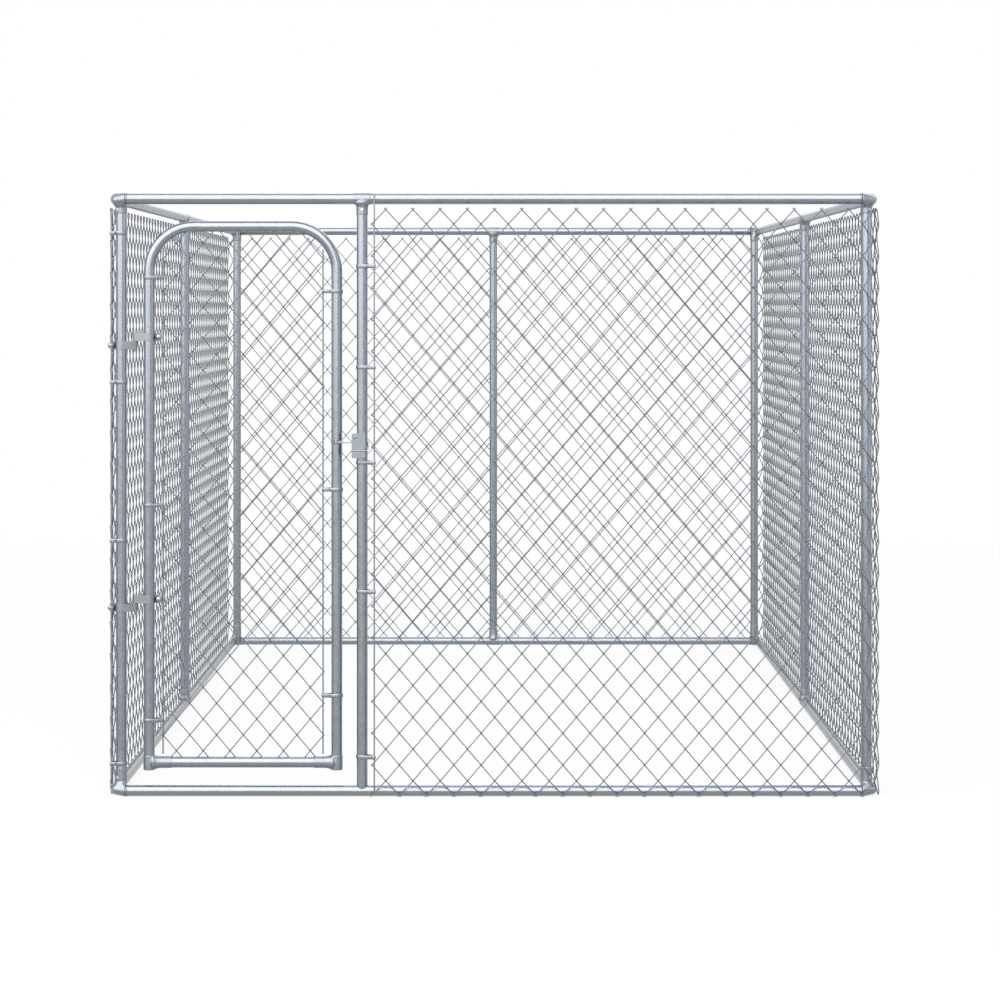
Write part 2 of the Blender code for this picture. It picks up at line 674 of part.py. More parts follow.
def hinge_pin(name, low, high, surface):
    seat = high + GAP
    tail = low - PIN_TAIL
    profile = [
        *dome(PIN_HEAD_R, seat, PIN_HEAD_HEIGHT),
        (PIN_R, seat),
        (PIN_R, tail),
        (PIN_R - PIN_CHAMFER, tail - PIN_CHAMFER),
        (0, tail - PIN_CHAMFER),
    ]
    return finish(translate(turned(profile, HARDWARE_SIDES), HINGE_X, POST_FRONT_Y), name, surface)


def make_hinges(surface):
    half = HINGE_LEAF_HEIGHT / 2 + GAP / 2
    for level, z in HINGE_HEIGHTS.items():
        hinge_leaf(f"hinge_{level}_post_leaf", -POST_X, z - half, surface)
        hinge_leaf(f"hinge_{level}_gate_leaf", GATE_LEFT_X, z + half, surface)
        carriage_bolt(f"hinge_{level}_post_bolt", -POST_X, z - half, surface)
        carriage_bolt(f"hinge_{level}_gate_bolt", GATE_LEFT_X, z + half, surface)
        hinge_pin(f"hinge_{level}_pin", z - 2 * half, z + 2 * half, surface)


# Latch
def make_latch_bracket(surface):
    """A strap round the post that carries a pad. The pad's notch, open to the front, takes the striker."""
    bore_r = (TUBE_R + GAP) / math.cos(math.pi / LATCH_STRAP_SIDES)
    centre = (LATCH_POST_X, FRONT_Y)
    last = LATCH_STRAP_SIDES - 1
    turn_end = math.tau * last / LATCH_STRAP_SIDES
    rings = [arc(centre, radius, 0, turn_end, last) for radius in (bore_r + LATCH_WALL, bore_r)]
    band = translate(outline(rings, LATCH_STRAP_HEIGHT), z=LATCH_Z)
    right_x = LATCH_LEFT_X + LATCH_WIDTH - LATCH_WALL
    pad = block(
        (LATCH_LEFT_X + GAP, PAD_FRONT_Y, LATCH_Z - LATCH_PAD_DROP),
        (right_x, PAD_BACK_Y - LATCH_WALL / 4, LATCH_TOP_Z - GAP),
    )
    made = combine(band, [pad], "UNION")
    play = STRIKER_R + NOTCH_PLAY
    notch = block(
        (LATCH_LEFT_X - LATCH_WIDTH, PAD_FRONT_Y - LATCH_WALL, STRIKER_Z - play),
        (LATCH_LEFT_X + STRIKER_TIP_PAST_EDGE + NOTCH_PLAY, STRIKER_Y + play, STRIKER_Z + play),
    )
    hole = rod((PIVOT_X, PAD_FRONT_Y - LATCH_WALL, PIVOT_Z), (PIVOT_X, FRONT_Y, PIVOT_Z), PIVOT_R + GAP)
    made = combine(made, [notch, hole], "DIFFERENCE")
    finish(made, "latch_bracket", surface)


def make_latch_catch(surface):
    """The plate that hangs in front of the striker, with a folded rib to lift it by."""
    low_z = LATCH_TOP_Z - LATCH_HEIGHT
    right_x = LATCH_LEFT_X + LATCH_WIDTH
    plate = block((LATCH_LEFT_X, CATCH_FRONT_Y, low_z), (right_x, CATCH_BACK_Y, LATCH_TOP_Z))
    rib_z = LATCH_Z - CATCH_RIB_DROP
    half = CATCH_THICKNESS / 2
    rib = block(
        (LATCH_LEFT_X - CATCH_RIB_LEFT_END, CATCH_FRONT_Y - CATCH_RIB_PROUD, rib_z - half),
        (right_x + CATCH_RIB_RIGHT_END, CATCH_BACK_Y - half, rib_z + half),
    )
    play = PIVOT_R + PIVOT_PLAY
    hole = rod((PIVOT_X, CATCH_FRONT_Y - PIVOT_R, PIVOT_Z), (PIVOT_X, FRONT_Y, PIVOT_Z), play)
    made = combine(combine(plate, [rib], "UNION"), [hole], "DIFFERENCE")
    finish(made, "latch_catch", surface)


def make_latch_pivot(surface):
    front = -CATCH_FRONT_Y + GAP
    shank_r = PIVOT_R - GAP
    profile = [
        *dome(PIVOT_HEAD_R, front, PIVOT_HEAD_HEIGHT),
        (shank_r, front),
        (shank_r, -PAD_BACK_Y),
        (0, -PAD_BACK_Y),
    ]
    rivet = turn(turned(profile, HARDWARE_SIDES), 90, "X")
    finish(translate(rivet, PIVOT_X, 0, PIVOT_Z), "latch_pivot", surface)


def make_striker(surface):
    """The rod on the gate that the latch holds, welded to a strap round the gate's stile."""
    stile = (GATE_RIGHT_X, POST_FRONT_Y)
    end = (GATE_RIGHT_X, STRIKER_Y)
    band = translate(strap(stile, end, STRIKER_R * GRIP, BAND_WALL, STRIKER_BAND_HEIGHT), z=STRIKER_Z)
    tip_x = LATCH_LEFT_X + STRIKER_TIP_PAST_EDGE
    start_x = GATE_RIGHT_X - STRIKER_R - BAND_WALL
    bar = rod((start_x, STRIKER_Y, STRIKER_Z), (tip_x, STRIKER_Y, STRIKER_Z), STRIKER_R)
    finish(combine(band, [bar], "UNION"), "gate_striker", surface)


def hang(name, place, pieces):
    """An empty on a joint's axis, which carries the pieces that move about it."""
    axis = bpy.data.objects.new(name, None)
    axis.location = place
    parts.objects.link(axis)
    bpy.context.view_layer.update()
    for piece in pieces:
        piece.parent = axis
        piece.matrix_parent_inverse = axis.matrix_world.inverted()


clear_scene()
parts = bpy.data.collections.new("dog_kennel")
bpy.context.scene.collection.children.link(parts)

galvanised_tube = material("galvanised_tube", (0.60, 0.63, 0.66), 0.85, 0.42)
cast_fitting = material("cast_fitting", (0.55, 0.58, 0.61), 0.8, 0.5)
fabric_wire = material("fabric_wire", (0.46, 0.47, 0.49), 0.8, 0.45)
band_steel = material("band_steel", (0.58, 0.60, 0.63), 0.85, 0.45)
hardware = material("hardware", (0.52, 0.54, 0.57), 0.9, 0.38)

make_corners(cast_fitting)
make_rails(galvanised_tube)
make_posts(galvanised_tube)
make_latch_post(galvanised_tube)
make_tees(cast_fitting)
make_fabric(fabric_wire)
make_tension_bars(band_steel)
make_gate_frame(galvanised_tube, cast_fitting)
make_gate_fabric(fabric_wire, band_steel)
make_hinges(hardware)
make_latch_bracket(hardware)
make_latch_catch(hardware)
make_latch_pivot(hardware)
make_striker(hardware)

gate_pieces = [obj for obj in parts.objects if "gate_" in obj.name]
hang("gate_hinge", (HINGE_X, POST_FRONT_Y, 0), gate_pieces)
hang("latch_lift", (PIVOT_X, CATCH_BACK_Y, PIVOT_Z), [parts.objects["latch_catch"]])
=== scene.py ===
"""The looks of the outdoor dog kennel: woven chain-link fabric, galvanised tube, castings and hardware.

Metres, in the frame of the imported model: +X to the right of someone facing the gate, +Y from the gate to
the rear, +Z up, with the origin on the ground at the middle of the kennel.
"""

import math

import bmesh
import bpy
import numpy as np
from mathutils import Matrix, Vector


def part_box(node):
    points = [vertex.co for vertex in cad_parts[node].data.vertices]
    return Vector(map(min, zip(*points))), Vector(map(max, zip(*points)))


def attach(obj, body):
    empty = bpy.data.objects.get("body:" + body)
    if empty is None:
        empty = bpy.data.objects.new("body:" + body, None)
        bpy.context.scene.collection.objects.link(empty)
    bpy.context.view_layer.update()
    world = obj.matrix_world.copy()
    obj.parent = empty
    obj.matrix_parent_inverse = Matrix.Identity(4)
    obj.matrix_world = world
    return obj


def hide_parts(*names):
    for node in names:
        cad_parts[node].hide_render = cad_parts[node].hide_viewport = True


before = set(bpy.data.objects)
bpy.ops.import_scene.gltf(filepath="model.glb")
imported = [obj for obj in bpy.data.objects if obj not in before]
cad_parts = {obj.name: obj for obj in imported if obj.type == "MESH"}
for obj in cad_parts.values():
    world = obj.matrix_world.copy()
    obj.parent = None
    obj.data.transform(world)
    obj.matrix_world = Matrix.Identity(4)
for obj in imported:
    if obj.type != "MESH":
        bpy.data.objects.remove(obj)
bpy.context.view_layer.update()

X, Y, Z = range(3)


def middle_of(node, axis):
    """The middle of a CAD node's box along X, Y or Z."""
    low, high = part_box(node)
    return (low[axis] + high[axis]) / 2


# Tubes and fittings
TUBE_R = 0.0165
TUBE_WALL = 0.0012
TUBE_LIP = 0.0004
TUBE_SIDES = 40
FITTING_R = 0.0178
FITTING_SIDES = 48
SEAT = 0.0003
GATE_BEND_R = 0.137
CORNER_LEG = 0.037
CORNER_CAST = 0.0315
CORNER_NECK = 0.025
CORNER_NECK_LAP = 0.004
CORNER_ROOT = 0.006
CORNER_ROOT_R = 0.012
CORNER_ROUNDS = 18
COLLAR_GROOVE = 0.0014
COLLAR_RIM = 0.0005
COLLAR_BITE = 0.0006
SHOULDER = (0.004, 0.004, 0.0035)
SHOULDER_R = 0.0143
TOP_BRANCH = 0.042
BOTTOM_BRANCH = 0.068
TEE_LENGTH = 0.052
TEE_BRANCH = 0.046
TEE_FLARE_R = 0.0240
TEE_FLARE_START = 0.012
TEE_FLARE_END = 0.0255
GATE_TEE_LENGTH = 0.044
GATE_TEE_BRANCH = 0.066
GATE_TEE_FLARE_END = 0.034
NECK_LAP = 0.003
NECK_ROOT = 0.008
NECK_RIM = 0.0004

# Set screws. Their heights are distances from a rail's centre line
SCREW_FROM_RAIL = 0.0325
CORNER_SCREW_RISE = 0.0395
CORNER_SCREW_DEGREES = 32
SCREW_R = 0.0042
SCREW_ROOT = 0.004
SCREW_PROUD = 0.0022
SCREW_RIM = 0.0005
SOCKET_R = SCREW_R * 0.52
SOCKET_DEPTH = 0.0018

# Places, from the boxes of the CAD nodes
LOW_Z = middle_of("rail_bottom_front", Z)
HIGH_Z = middle_of("rail_top_front", Z)
FRONT_Y = middle_of("rail_top_front", Y)
REAR_Y = middle_of("rail_top_rear", Y)
SIDE_X = middle_of("rail_top_right", X)
POST_X = middle_of("post_front_right", X)
POST_FRONT_Y = middle_of("post_front_right", Y)
POST_INSET = SIDE_X - POST_X
REAR_POST_X = middle_of("post_middle_rear", X)
LATCH_POST_X = middle_of("latch_post", X)
ARCH_LOW, ARCH_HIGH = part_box("gate_arch")
GATE_LEFT_X, GATE_RIGHT_X = ARCH_LOW.x + TUBE_R, ARCH_HIGH.x - TUBE_R
GATE_FOOT_Z, GATE_TOP_Z = ARCH_LOW.z, ARCH_HIGH.z - TUBE_R
GATE_RAIL_Z = middle_of("gate_bottom_rail", Z)
HINGE_X = middle_of("hinge_upper_pin", X)


# Meshes
def around(centre, radius, start, end, steps):
    """Points of an arc between two angles."""
    angles = [start + (end - start) * i / steps for i in range(steps + 1)]
    return [(centre[0] + radius * math.cos(a), centre[1] + radius * math.sin(a)) for a in angles]


def bridged(rows, closed=False):
    """Faces between rows of point numbers. A row that is one point has its number throughout."""
    faces = []
    for low, high in zip(rows, rows[1:] + (rows[:1] if closed else [])):
        for i in range(len(low)):
            j = (i + 1) % len(low)
            faces.append(list(dict.fromkeys([low[i], low[j], high[j], high[i]])))
    return faces


def lathe(profile, sides, closed=False):
    """Points and faces of a profile of (radius, height) turned about Z."""
    points, rows = [], []
    for radius, height in profile:
        start = len(points)
        if radius < 1e-9:
            points.append((0, 0, height))
            rows.append([start] * sides)
            continue
        for i in range(sides):
            angle = math.tau * i / sides
            points.append((radius * math.cos(angle), radius * math.sin(angle), height))
        rows.append([start + i for i in range(sides)])
    return points, bridged(rows, closed)


def sweep(path, radius, sides, capped=True):
    """Points and faces of a round bar along a path."""
    path = [Vector(p) for p in path]
    points = []
    ahead = (path[1] - path[0]).normalized()
    side = ahead.orthogonal().normalized()
    for n, here in enumerate(path):
        before = path[max(n - 1, 0)]
        after = path[min(n + 1, len(path) - 1)]
        into, out = (here - before).normalized(), (after - here).normalized()
        along = (into + out).normalized()
        side = (side - side.dot(along) * along).normalized()
        other = along.cross(side)
        bend = max(into.dot(along), 0.5) if n not in (0, len(path) - 1) else 1.0
        turn = out - into
        bent = turn.normalized() if turn.length > 1e-6 else None
        for i in range(sides):
            angle = math.tau * i / sides
            spoke = side * math.cos(angle) + other * math.sin(angle)
            if bent is not None and bend < 1.0:
                spoke += bent * spoke.dot(bent) * (1 / bend - 1)
            points.append(here + spoke * radius)
    rows = [range(n * sides, (n + 1) * sides) for n in range(len(path))]
    faces = bridged(rows)
    if capped:
        faces += [list(rows[0])[::-1], list(rows[-1])]
    return points, faces


def wall_of_loops(loops):
    """Points and faces of the closed ring through loops in space that have as many points each."""
    count = len(loops[0])
    rows = [range(n * count, (n + 1) * count) for n in range(len(loops))]
    return [point for loop in loops for point in loop], bridged(rows, closed=True)


def block(low, high):
    """Points and faces of a box between two corners."""
    spans = list(zip(low, high))
    points = [(x, y, z) for x in spans[X] for y in spans[Y] for z in spans[Z]]
    faces = [[0, 1, 3, 2], [4, 6, 7, 5], [0, 4, 5, 1], [2, 3, 7, 6], [0, 2, 6, 4], [1, 5, 7, 3]]
    return points, faces


class Shape:
    """Points and faces collected for one piece, with a material number for each face."""

    def __init__(self):
        self.points, self.faces, self.numbers = [], [], []

    def add(self, part, place=None, number=0):
        points, faces = part
        start = len(self.points)
        if place is not None:
            points = [place @ Vector(p) for p in points]
        self.points += [tuple(p) for p in points]
        self.faces += [[start + i for i in face] for face in faces]
        self.numbers += [number] * len(faces)
        return self

    def mesh(self, name):
        made = bpy.data.meshes.new(name)
        made.from_pydata(self.points, [], self.faces)
        made.polygons.foreach_set("material_index", self.numbers)
        made.validate()
        made.update()
        return made


def object_of(name, data):
    """A new object in the scene with a mesh, a light or a camera as its data."""
    made = bpy.data.objects.new(name, data)
    bpy.context.scene.collection.objects.link(made)
    return made


def piece(name, shape):
    """A new object with a collected shape as its mesh."""
    return object_of(name, shape.mesh(name))


def dress(obj, body, surfaces, replaced=(), angle=38):
    """Shades a finished piece, gives it its materials and makes it ride on its body."""
    mesh = obj.data
    mesh.materials.clear()
    for surface in surfaces:
        mesh.materials.append(surface)
    mesh.shade_smooth()
    mesh.set_sharp_from_angle(angle=math.radians(angle))
    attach(obj, body)
    if replaced:
        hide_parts(*replaced)


def soften(obj, width):
    """Rounds a piece's hard edges."""
    step = obj.modifiers.new("Edges", "BEVEL")
    step.width = width
    step.segments = 2
    step.limit_method = "ANGLE"
    step.angle_limit = math.radians(40)


def applied(obj):
    """The object's mesh with its modifiers in it, without the object."""
    graph = bpy.context.evaluated_depsgraph_get()
    made = bpy.data.meshes.new_from_object(obj.evaluated_get(graph))
    bpy.data.objects.remove(obj, do_unlink=True)
    return made


def cut(obj, taken_out):
    """The object made again with a closed shape taken out of it."""
    name = obj.name
    cutter = piece("cutter", taken_out)
    step = obj.modifiers.new("Cut", "BOOLEAN")
    step.operation = "DIFFERENCE"
    step.solver = "EXACT"
    step.object = cutter
    bpy.context.view_layer.update()
    made = applied(obj)
    bpy.data.objects.remove(cutter, do_unlink=True)
    return object_of(name, made)


def turned(degrees, axis):
    return Matrix.Rotation(math.radians(degrees), 4, axis)


def shifted(x, y, z):
    return Matrix.Translation((x, y, z))


# Materials
def added(tree, kind, values=None):
    """A new node of a tree, with some of its inputs set."""
    node = tree.nodes.new(kind)
    for name, value in (values or {}).items():
        node.inputs[name].default_value = value
    return node


def calculated(tree, operation, first, second):
    """The output of a new node that works out a number from two others."""
    node = added(tree, "ShaderNodeMath")
    node.operation = operation
    tree.links.new(first, node.inputs[0])
    tree.links.new(second, node.inputs[1])
    return node.outputs["Value"]


def node_material(name):
    made = bpy.data.materials.new(name)
    made.use_nodes = True
    return made, made.node_tree, made.node_tree.nodes["Principled BSDF"]


ROUGHNESS_BELOW, ROUGHNESS_ABOVE = 0.06, 0.08
CLOUD_SPAN = 9  # crystals to a cloud
GRAIN_DEPTH = 0.0004


def zinc(name, color, spread, roughness, spangle, grain, bump, metallic=1.0):
    """Hot-dipped zinc: crystals that differ a little in shade and gloss, over a fine grain."""
    made, tree, shader = node_material(name)
    link = tree.links.new
    place = added(tree, "ShaderNodeTexCoord")
    crystals = added(tree, "ShaderNodeTexVoronoi", {"Scale": spangle, "Randomness": 1.0})
    clouds = added(tree, "ShaderNodeTexNoise", {"Scale": spangle / CLOUD_SPAN, "Detail": 4})
    fine = added(tree, "ShaderNodeTexNoise", {"Scale": grain, "Detail": 3})
    for texture in (crystals, clouds, fine):
        link(place.outputs["Object"], texture.inputs["Vector"])
    grey = added(tree, "ShaderNodeRGBToBW")
    link(crystals.outputs["Color"], grey.inputs["Color"])
    blend = added(tree, "ShaderNodeMix")
    blend.data_type = "FLOAT"
    blend.inputs["Factor"].default_value = 0.55
    link(grey.outputs["Val"], blend.inputs["A"])
    link(clouds.outputs["Fac"], blend.inputs["B"])
    shade = added(tree, "ShaderNodeValToRGB")
    dark, light = shade.color_ramp.elements
    dark.position, light.position = 0.3, 0.7
    dark.color = (*[c * (1 - spread) for c in color], 1)
    light.color = (*[c * (1 + spread) for c in color], 1)
    link(blend.outputs["Result"], shade.inputs["Fac"])
    link(shade.outputs["Color"], shader.inputs["Base Color"])
    limits = {"To Min": roughness - ROUGHNESS_BELOW, "To Max": roughness + ROUGHNESS_ABOVE}
    gloss = added(tree, "ShaderNodeMapRange", limits)
    link(blend.outputs["Result"], gloss.inputs["Value"])
    link(gloss.outputs["Result"], shader.inputs["Roughness"])
    relief = added(tree, "ShaderNodeBump", {"Strength": bump, "Distance": GRAIN_DEPTH})
    link(fine.outputs["Fac"], relief.inputs["Height"])
    link(relief.outputs["Normal"], shader.inputs["Normal"])
    shader.inputs["Metallic"].default_value = metallic
    return made


# Each has its color, spread of shade, roughness, crystals and grains to a metre, and strength of grain
tube_zinc = zinc("tube_zinc", (0.230, 0.251, 0.279), 0.05, 0.27, 110, 700, 0.015)
cast_zinc = zinc("cast_zinc", (0.215, 0.234, 0.258), 0.06, 0.36, 160, 1400, 0.08)
wire_zinc = zinc("wire_zinc", (0.122, 0.142, 0.174), 0.08, 0.34, 120, 900, 0.0)
band_zinc = zinc("band_zinc", (0.205, 0.221, 0.242), 0.06, 0.42, 140, 900, 0.02)
bright_zinc = zinc("bright_zinc", (0.232, 0.248, 0.270), 0.05, 0.20, 200, 1500, 0.02)
# The set screws are real parts, but their zinc is painted about twice as light as the other zinc: a painted
# glint on their heads
screw_zinc_painted_glint = zinc("screw_zinc_painted_glint", (0.48, 0.50, 0.52), 0.05, 0.30, 200, 1500, 0.02, metallic=0.9)


# Tubes
def straight_tube(node):
    """A round hollow tube in the place of a straight CAD tube."""
    low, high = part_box(node)
    size, start = high - low, (low + high) / 2
    axis = max(range(3), key=lambda i: size[i])
    start[axis] = low[axis]
    heading = {X: turned(90, "Y"), Y: turned(-90, "X"), Z: Matrix.Identity(4)}[axis]
    length, inner_r, lip_r = size[axis], TUBE_R - TUBE_WALL, TUBE_R - TUBE_LIP
    tube = lathe([
        (lip_r, 0), (TUBE_R, TUBE_LIP), (TUBE_R, length - TUBE_LIP), (lip_r, length),
        (inner_r, length), (inner_r, 0),
    ], TUBE_SIDES, closed=True)
    return piece(node + "_tube", Shape().add(tube, Matrix.Translation(start) @ heading))


def dress_tube(obj, node, body="frame"):
    dress(obj, body, [tube_zinc], [node])


def make_tubes():
    levels, depths, sides = ("bottom", "top"), ("front", "rear"), ("left", "right")
    straight = [f"rail_{level}_{side}" for level in levels for side in depths + sides]
    straight += [f"post_{depth}_{side}" for depth in depths for side in sides]
    straight += ["post_middle_rear", "post_middle_left", "post_middle_right"]
    for node in straight:
        dress_tube(straight_tube(node), node)
    dress_tube(straight_tube("gate_bottom_rail"), "gate_bottom_rail", "gate")
    reach, saddle_r = 2 * FITTING_R, TUBE_R + SEAT
    saddle = lathe([(0, -reach), (saddle_r, -reach), (saddle_r, reach), (0, reach)], FITTING_SIDES)
    across = shifted(LATCH_POST_X, FRONT_Y, LOW_Z) @ turned(90, "Y")
    dress_tube(cut(straight_tube("latch_post"), Shape().add(saddle, across)), "latch_post")


def gate_path(steps=14):
    """The middle line of the gate's bent tube, up one stile, over the arch and down the other."""
    bend_z = GATE_TOP_Z - GATE_BEND_R
    left, right = GATE_LEFT_X + GATE_BEND_R, GATE_RIGHT_X - GATE_BEND_R
    path = [(GATE_LEFT_X, GATE_FOOT_Z)]
    path += around((left, bend_z), GATE_BEND_R, math.pi, math.pi / 2, steps)
    path += around((right, bend_z), GATE_BEND_R, math.pi / 2, 0, steps)
    path.append((GATE_RIGHT_X, GATE_FOOT_Z))
    return [Vector((x, POST_FRONT_Y, z)) for x, z in path]


def make_gate_arch():
    """The gate's bent tube: an outer and an inner surface, joined at the open ends."""
    path = gate_path()
    shape = Shape().add(sweep(path, TUBE_R, TUBE_SIDES, capped=False))
    count, last = len(shape.points), (len(path) - 1) * TUBE_SIDES
    points, faces = sweep(path, TUBE_R - TUBE_WALL, TUBE_SIDES, capped=False)
    shape.add((points, [face[::-1] for face in faces]))
    for i in range(TUBE_SIDES):
        j = (i + 1) % TUBE_SIDES
        shape.faces.append([j, i, count + i, count + j])
        shape.faces.append([last + i, last + j, count + last + j, count + last + i])
        shape.numbers += [0, 0]
    dress_tube(piece("gate_arch_tube", shape), "gate_arch", "gate")


# Castings
CAST_VOXEL = 0.0013
CAST_KEEP = 0.35


def cast(name, shape, rounds=5):
    """One cast mesh from closed shapes that overlap, with its inner corners filled."""
    obj = piece(name, shape)
    step = obj.modifiers.new("Skin", "REMESH")
    step.mode = "VOXEL"
    step.voxel_size = CAST_VOXEL
    step = obj.modifiers.new("Fillet", "SMOOTH")
    step.factor = 0.5
    step.iterations = rounds
    step = obj.modifiers.new("Thin", "DECIMATE")
    step.ratio = CAST_KEEP
    bpy.context.view_layer.update()
    return applied(obj)


def screw():
    """The outer end of a set screw that stands out of a casting along Z, with its round socket."""
    socket_z = SCREW_PROUD - SOCKET_DEPTH
    profile = [
        (0, -SCREW_ROOT), (SCREW_R, -SCREW_ROOT), (SCREW_R, SCREW_PROUD - SCREW_RIM),
        (SCREW_R - SCREW_RIM, SCREW_PROUD), (SOCKET_R, SCREW_PROUD), (SOCKET_R, socket_z), (0, socket_z),
    ]
    return lathe(profile, 12)


def necked(flare_end, reach):
    """The closed shape of a tee's neck, from inside its sleeve out to its collar."""
    root = TEE_FLARE_START - NECK_ROOT
    profile = [
        (0, root),
        (TEE_FLARE_R * 0.75, root),
        (TEE_FLARE_R, TEE_FLARE_START),
        ((TEE_FLARE_R + 2 * FITTING_R) / 3, (TEE_FLARE_START + flare_end) / 2),
        (FITTING_R, flare_end),
        (FITTING_R, reach - NECK_RIM),
        (FITTING_R - NECK_RIM, reach),
        (0, reach),
    ]
    return lathe(profile, FITTING_SIDES)


def skin(points):
    """Points and faces of the closed shape stretched over some points."""
    bm = bmesh.new()
    for point in points:
        bm.verts.new(point)
    bmesh.ops.convex_hull(bm, input=bm.verts[:])
    inside = [vert for vert in bm.verts if not vert.link_faces]
    bmesh.ops.delete(bm, geom=inside, context="VERTS")
    bmesh.ops.recalc_face_normals(bm, faces=bm.faces[:])
    bm.verts.index_update()
    corners = [tuple(vert.co) for vert in bm.verts]
    faces = [[vert.index for vert in face.verts] for face in bm.faces]
    bm.free()
    return corners, faces


def taken(mesh):
    """Points and faces of a mesh."""
    points = [tuple(vert.co) for vert in mesh.vertices]
    return points, [list(face.vertices) for face in mesh.polygons]


def shoulder_points(rings=12, sides=24):
    """Points on the ball that rounds the outside of a corner casting."""
    points = []
    for i in range(rings + 1):
        tilt = math.pi * i / rings
        ring = SHOULDER_R * math.sin(tilt)
        for k in range(sides):
            angle = math.tau * k / sides
            points.append((
                SHOULDER[X] + ring * math.cos(angle),
                SHOULDER[Y] + ring * math.sin(angle),
                SHOULDER[Z] + SHOULDER_R * math.cos(tilt),
            ))
    return points


def corner_mesh(name, reach):
    """A three-way elbow: a cast shoulder, a collared sleeve for each rail and the post's neck between."""
    points = []
    for u, v in around((0, 0), FITTING_R, 0, math.tau, FITTING_SIDES)[:-1]:
        points += [(CORNER_CAST, u, v), (u, CORNER_CAST, v), (POST_INSET + u, POST_INSET + v, CORNER_NECK)]
    shape = Shape().add(skin(points + shoulder_points()))
    neck = lathe([
        (0, CORNER_ROOT), (CORNER_ROOT_R, CORNER_ROOT), (FITTING_R, CORNER_NECK - CORNER_NECK_LAP),
        (FITTING_R, reach + NECK_LAP), (0, reach + NECK_LAP),
    ], FITTING_SIDES)
    shape.add(neck, shifted(POST_INSET, POST_INSET, 0))
    made = Shape().add(taken(cast(name, shape, CORNER_ROUNDS)))
    start, bore_r = CORNER_CAST + COLLAR_GROOVE, TUBE_R - COLLAR_BITE
    collar = lathe([
        (FITTING_R - COLLAR_RIM, start), (FITTING_R, start + COLLAR_RIM),
        (FITTING_R, CORNER_LEG - COLLAR_RIM), (FITTING_R - COLLAR_RIM, CORNER_LEG),
        (bore_r, CORNER_LEG), (bore_r, start),
    ], FITTING_SIDES, closed=True)
    for heading in (turned(90, "Y"), turned(-90, "X")):
        made.add(collar, heading)
    return made.mesh(name)


def tee_mesh(name, length, flare_end, reach):
    """A sleeve over a rail with a flared neck for a post along Z."""
    half = length / 2
    sleeve = [(0, -half), (FITTING_R, -half), (FITTING_R, half), (0, half)]
    shape = Shape().add(lathe(sleeve, FITTING_SIDES), turned(90, "Y"))
    shape.add(necked(flare_end, reach + NECK_LAP))
    obj = object_of(name, cast(name, shape))
    bore_r = TUBE_R + SEAT / 2
    bore = [(0, -length), (bore_r, -length), (bore_r, length), (0, length)]
    return applied(cut(obj, Shape().add(lathe(bore, FITTING_SIDES), turned(90, "Y"))))


def place_casting(node, mesh, place, body="frame", screw_at=None):
    """A casting in its place, and its set screw if it has one."""
    obj = object_of(node + "_casting", mesh.copy())
    obj.matrix_world = place
    dress(obj, body, [cast_zinc], [node], angle=60)
    if screw_at is not None:
        obj = piece(node + "_screw", Shape().add(screw(), screw_at))
        dress(obj, body, [screw_zinc_painted_glint])


def on_sleeve(x, y, z, degrees):
    """A place on an upright sleeve's face, outwards at that heading (0 is +X, -90 is to the front)."""
    aim = math.radians(degrees)
    spot = shifted(x + FITTING_R * math.cos(aim), y + FITTING_R * math.sin(aim), z)
    return spot @ turned(degrees, "Z") @ turned(90, "Y")


def make_corners():
    """The eight corner castings: place, turn, and 1 or -1 for a post to the right or left, back or front."""
    corners = {
        "front_left": (-SIDE_X, FRONT_Y, 0, 1, 1),
        "front_right": (SIDE_X, FRONT_Y, 90, -1, 1),
        "rear_right": (SIDE_X, REAR_Y, 180, -1, -1),
        "rear_left": (-SIDE_X, REAR_Y, 270, 1, -1),
    }
    upside_down = turned(180, "X") @ turned(-90, "Z")
    low_mesh = corner_mesh("corner_low", BOTTOM_BRANCH)
    high_mesh = corner_mesh("corner_high", TOP_BRANCH)
    levels = (
        ("bottom", LOW_Z, CORNER_SCREW_RISE, Matrix.Identity(4), low_mesh),
        ("top", HIGH_Z, -SCREW_FROM_RAIL, upside_down, high_mesh),
    )
    for corner, (x, y, heading, right, back) in corners.items():
        outwards = -90 * back - right * back * CORNER_SCREW_DEGREES
        for level, rail_z, screw_rise, tip, mesh in levels:
            place = shifted(x, y, rail_z) @ turned(heading, "Z") @ tip
            post_x, post_y = x + right * POST_INSET, y + back * POST_INSET
            at = on_sleeve(post_x, post_y, rail_z + screw_rise, outwards)
            place_casting(f"corner_{level}_{corner}", mesh, place, screw_at=at)


def make_tees():
    """The tees of the middle posts and the latch post, their screws inwards or to the front."""
    tee = tee_mesh("tee", TEE_LENGTH, TEE_FLARE_END, TEE_BRANCH)
    along_x, along_y, upside_down = Matrix.Identity(4), turned(90, "Z"), turned(180, "X")
    middle_y = (FRONT_Y + REAR_Y) / 2
    middles = {
        "rear": (REAR_POST_X, REAR_Y, along_x, -90),
        "left": (-SIDE_X, middle_y, along_y, 0),
        "right": (SIDE_X, middle_y, along_y, 180),
    }
    levels = ("bottom", LOW_Z, SCREW_FROM_RAIL, along_x), ("top", HIGH_Z, -SCREW_FROM_RAIL, upside_down)
    for side, (x, y, spin, inward) in middles.items():
        for level, rail_z, screw_rise, tip in levels:
            at = on_sleeve(x, y, rail_z + screw_rise, inward)
            place_casting(f"tee_{level}_{side}", tee, shifted(x, y, rail_z) @ spin @ tip, screw_at=at)
    at = on_sleeve(LATCH_POST_X, FRONT_Y, HIGH_Z - SCREW_FROM_RAIL, -90)
    place = shifted(LATCH_POST_X, FRONT_Y, HIGH_Z) @ upside_down
    place_casting("tee_top_front", tee, place, screw_at=at)


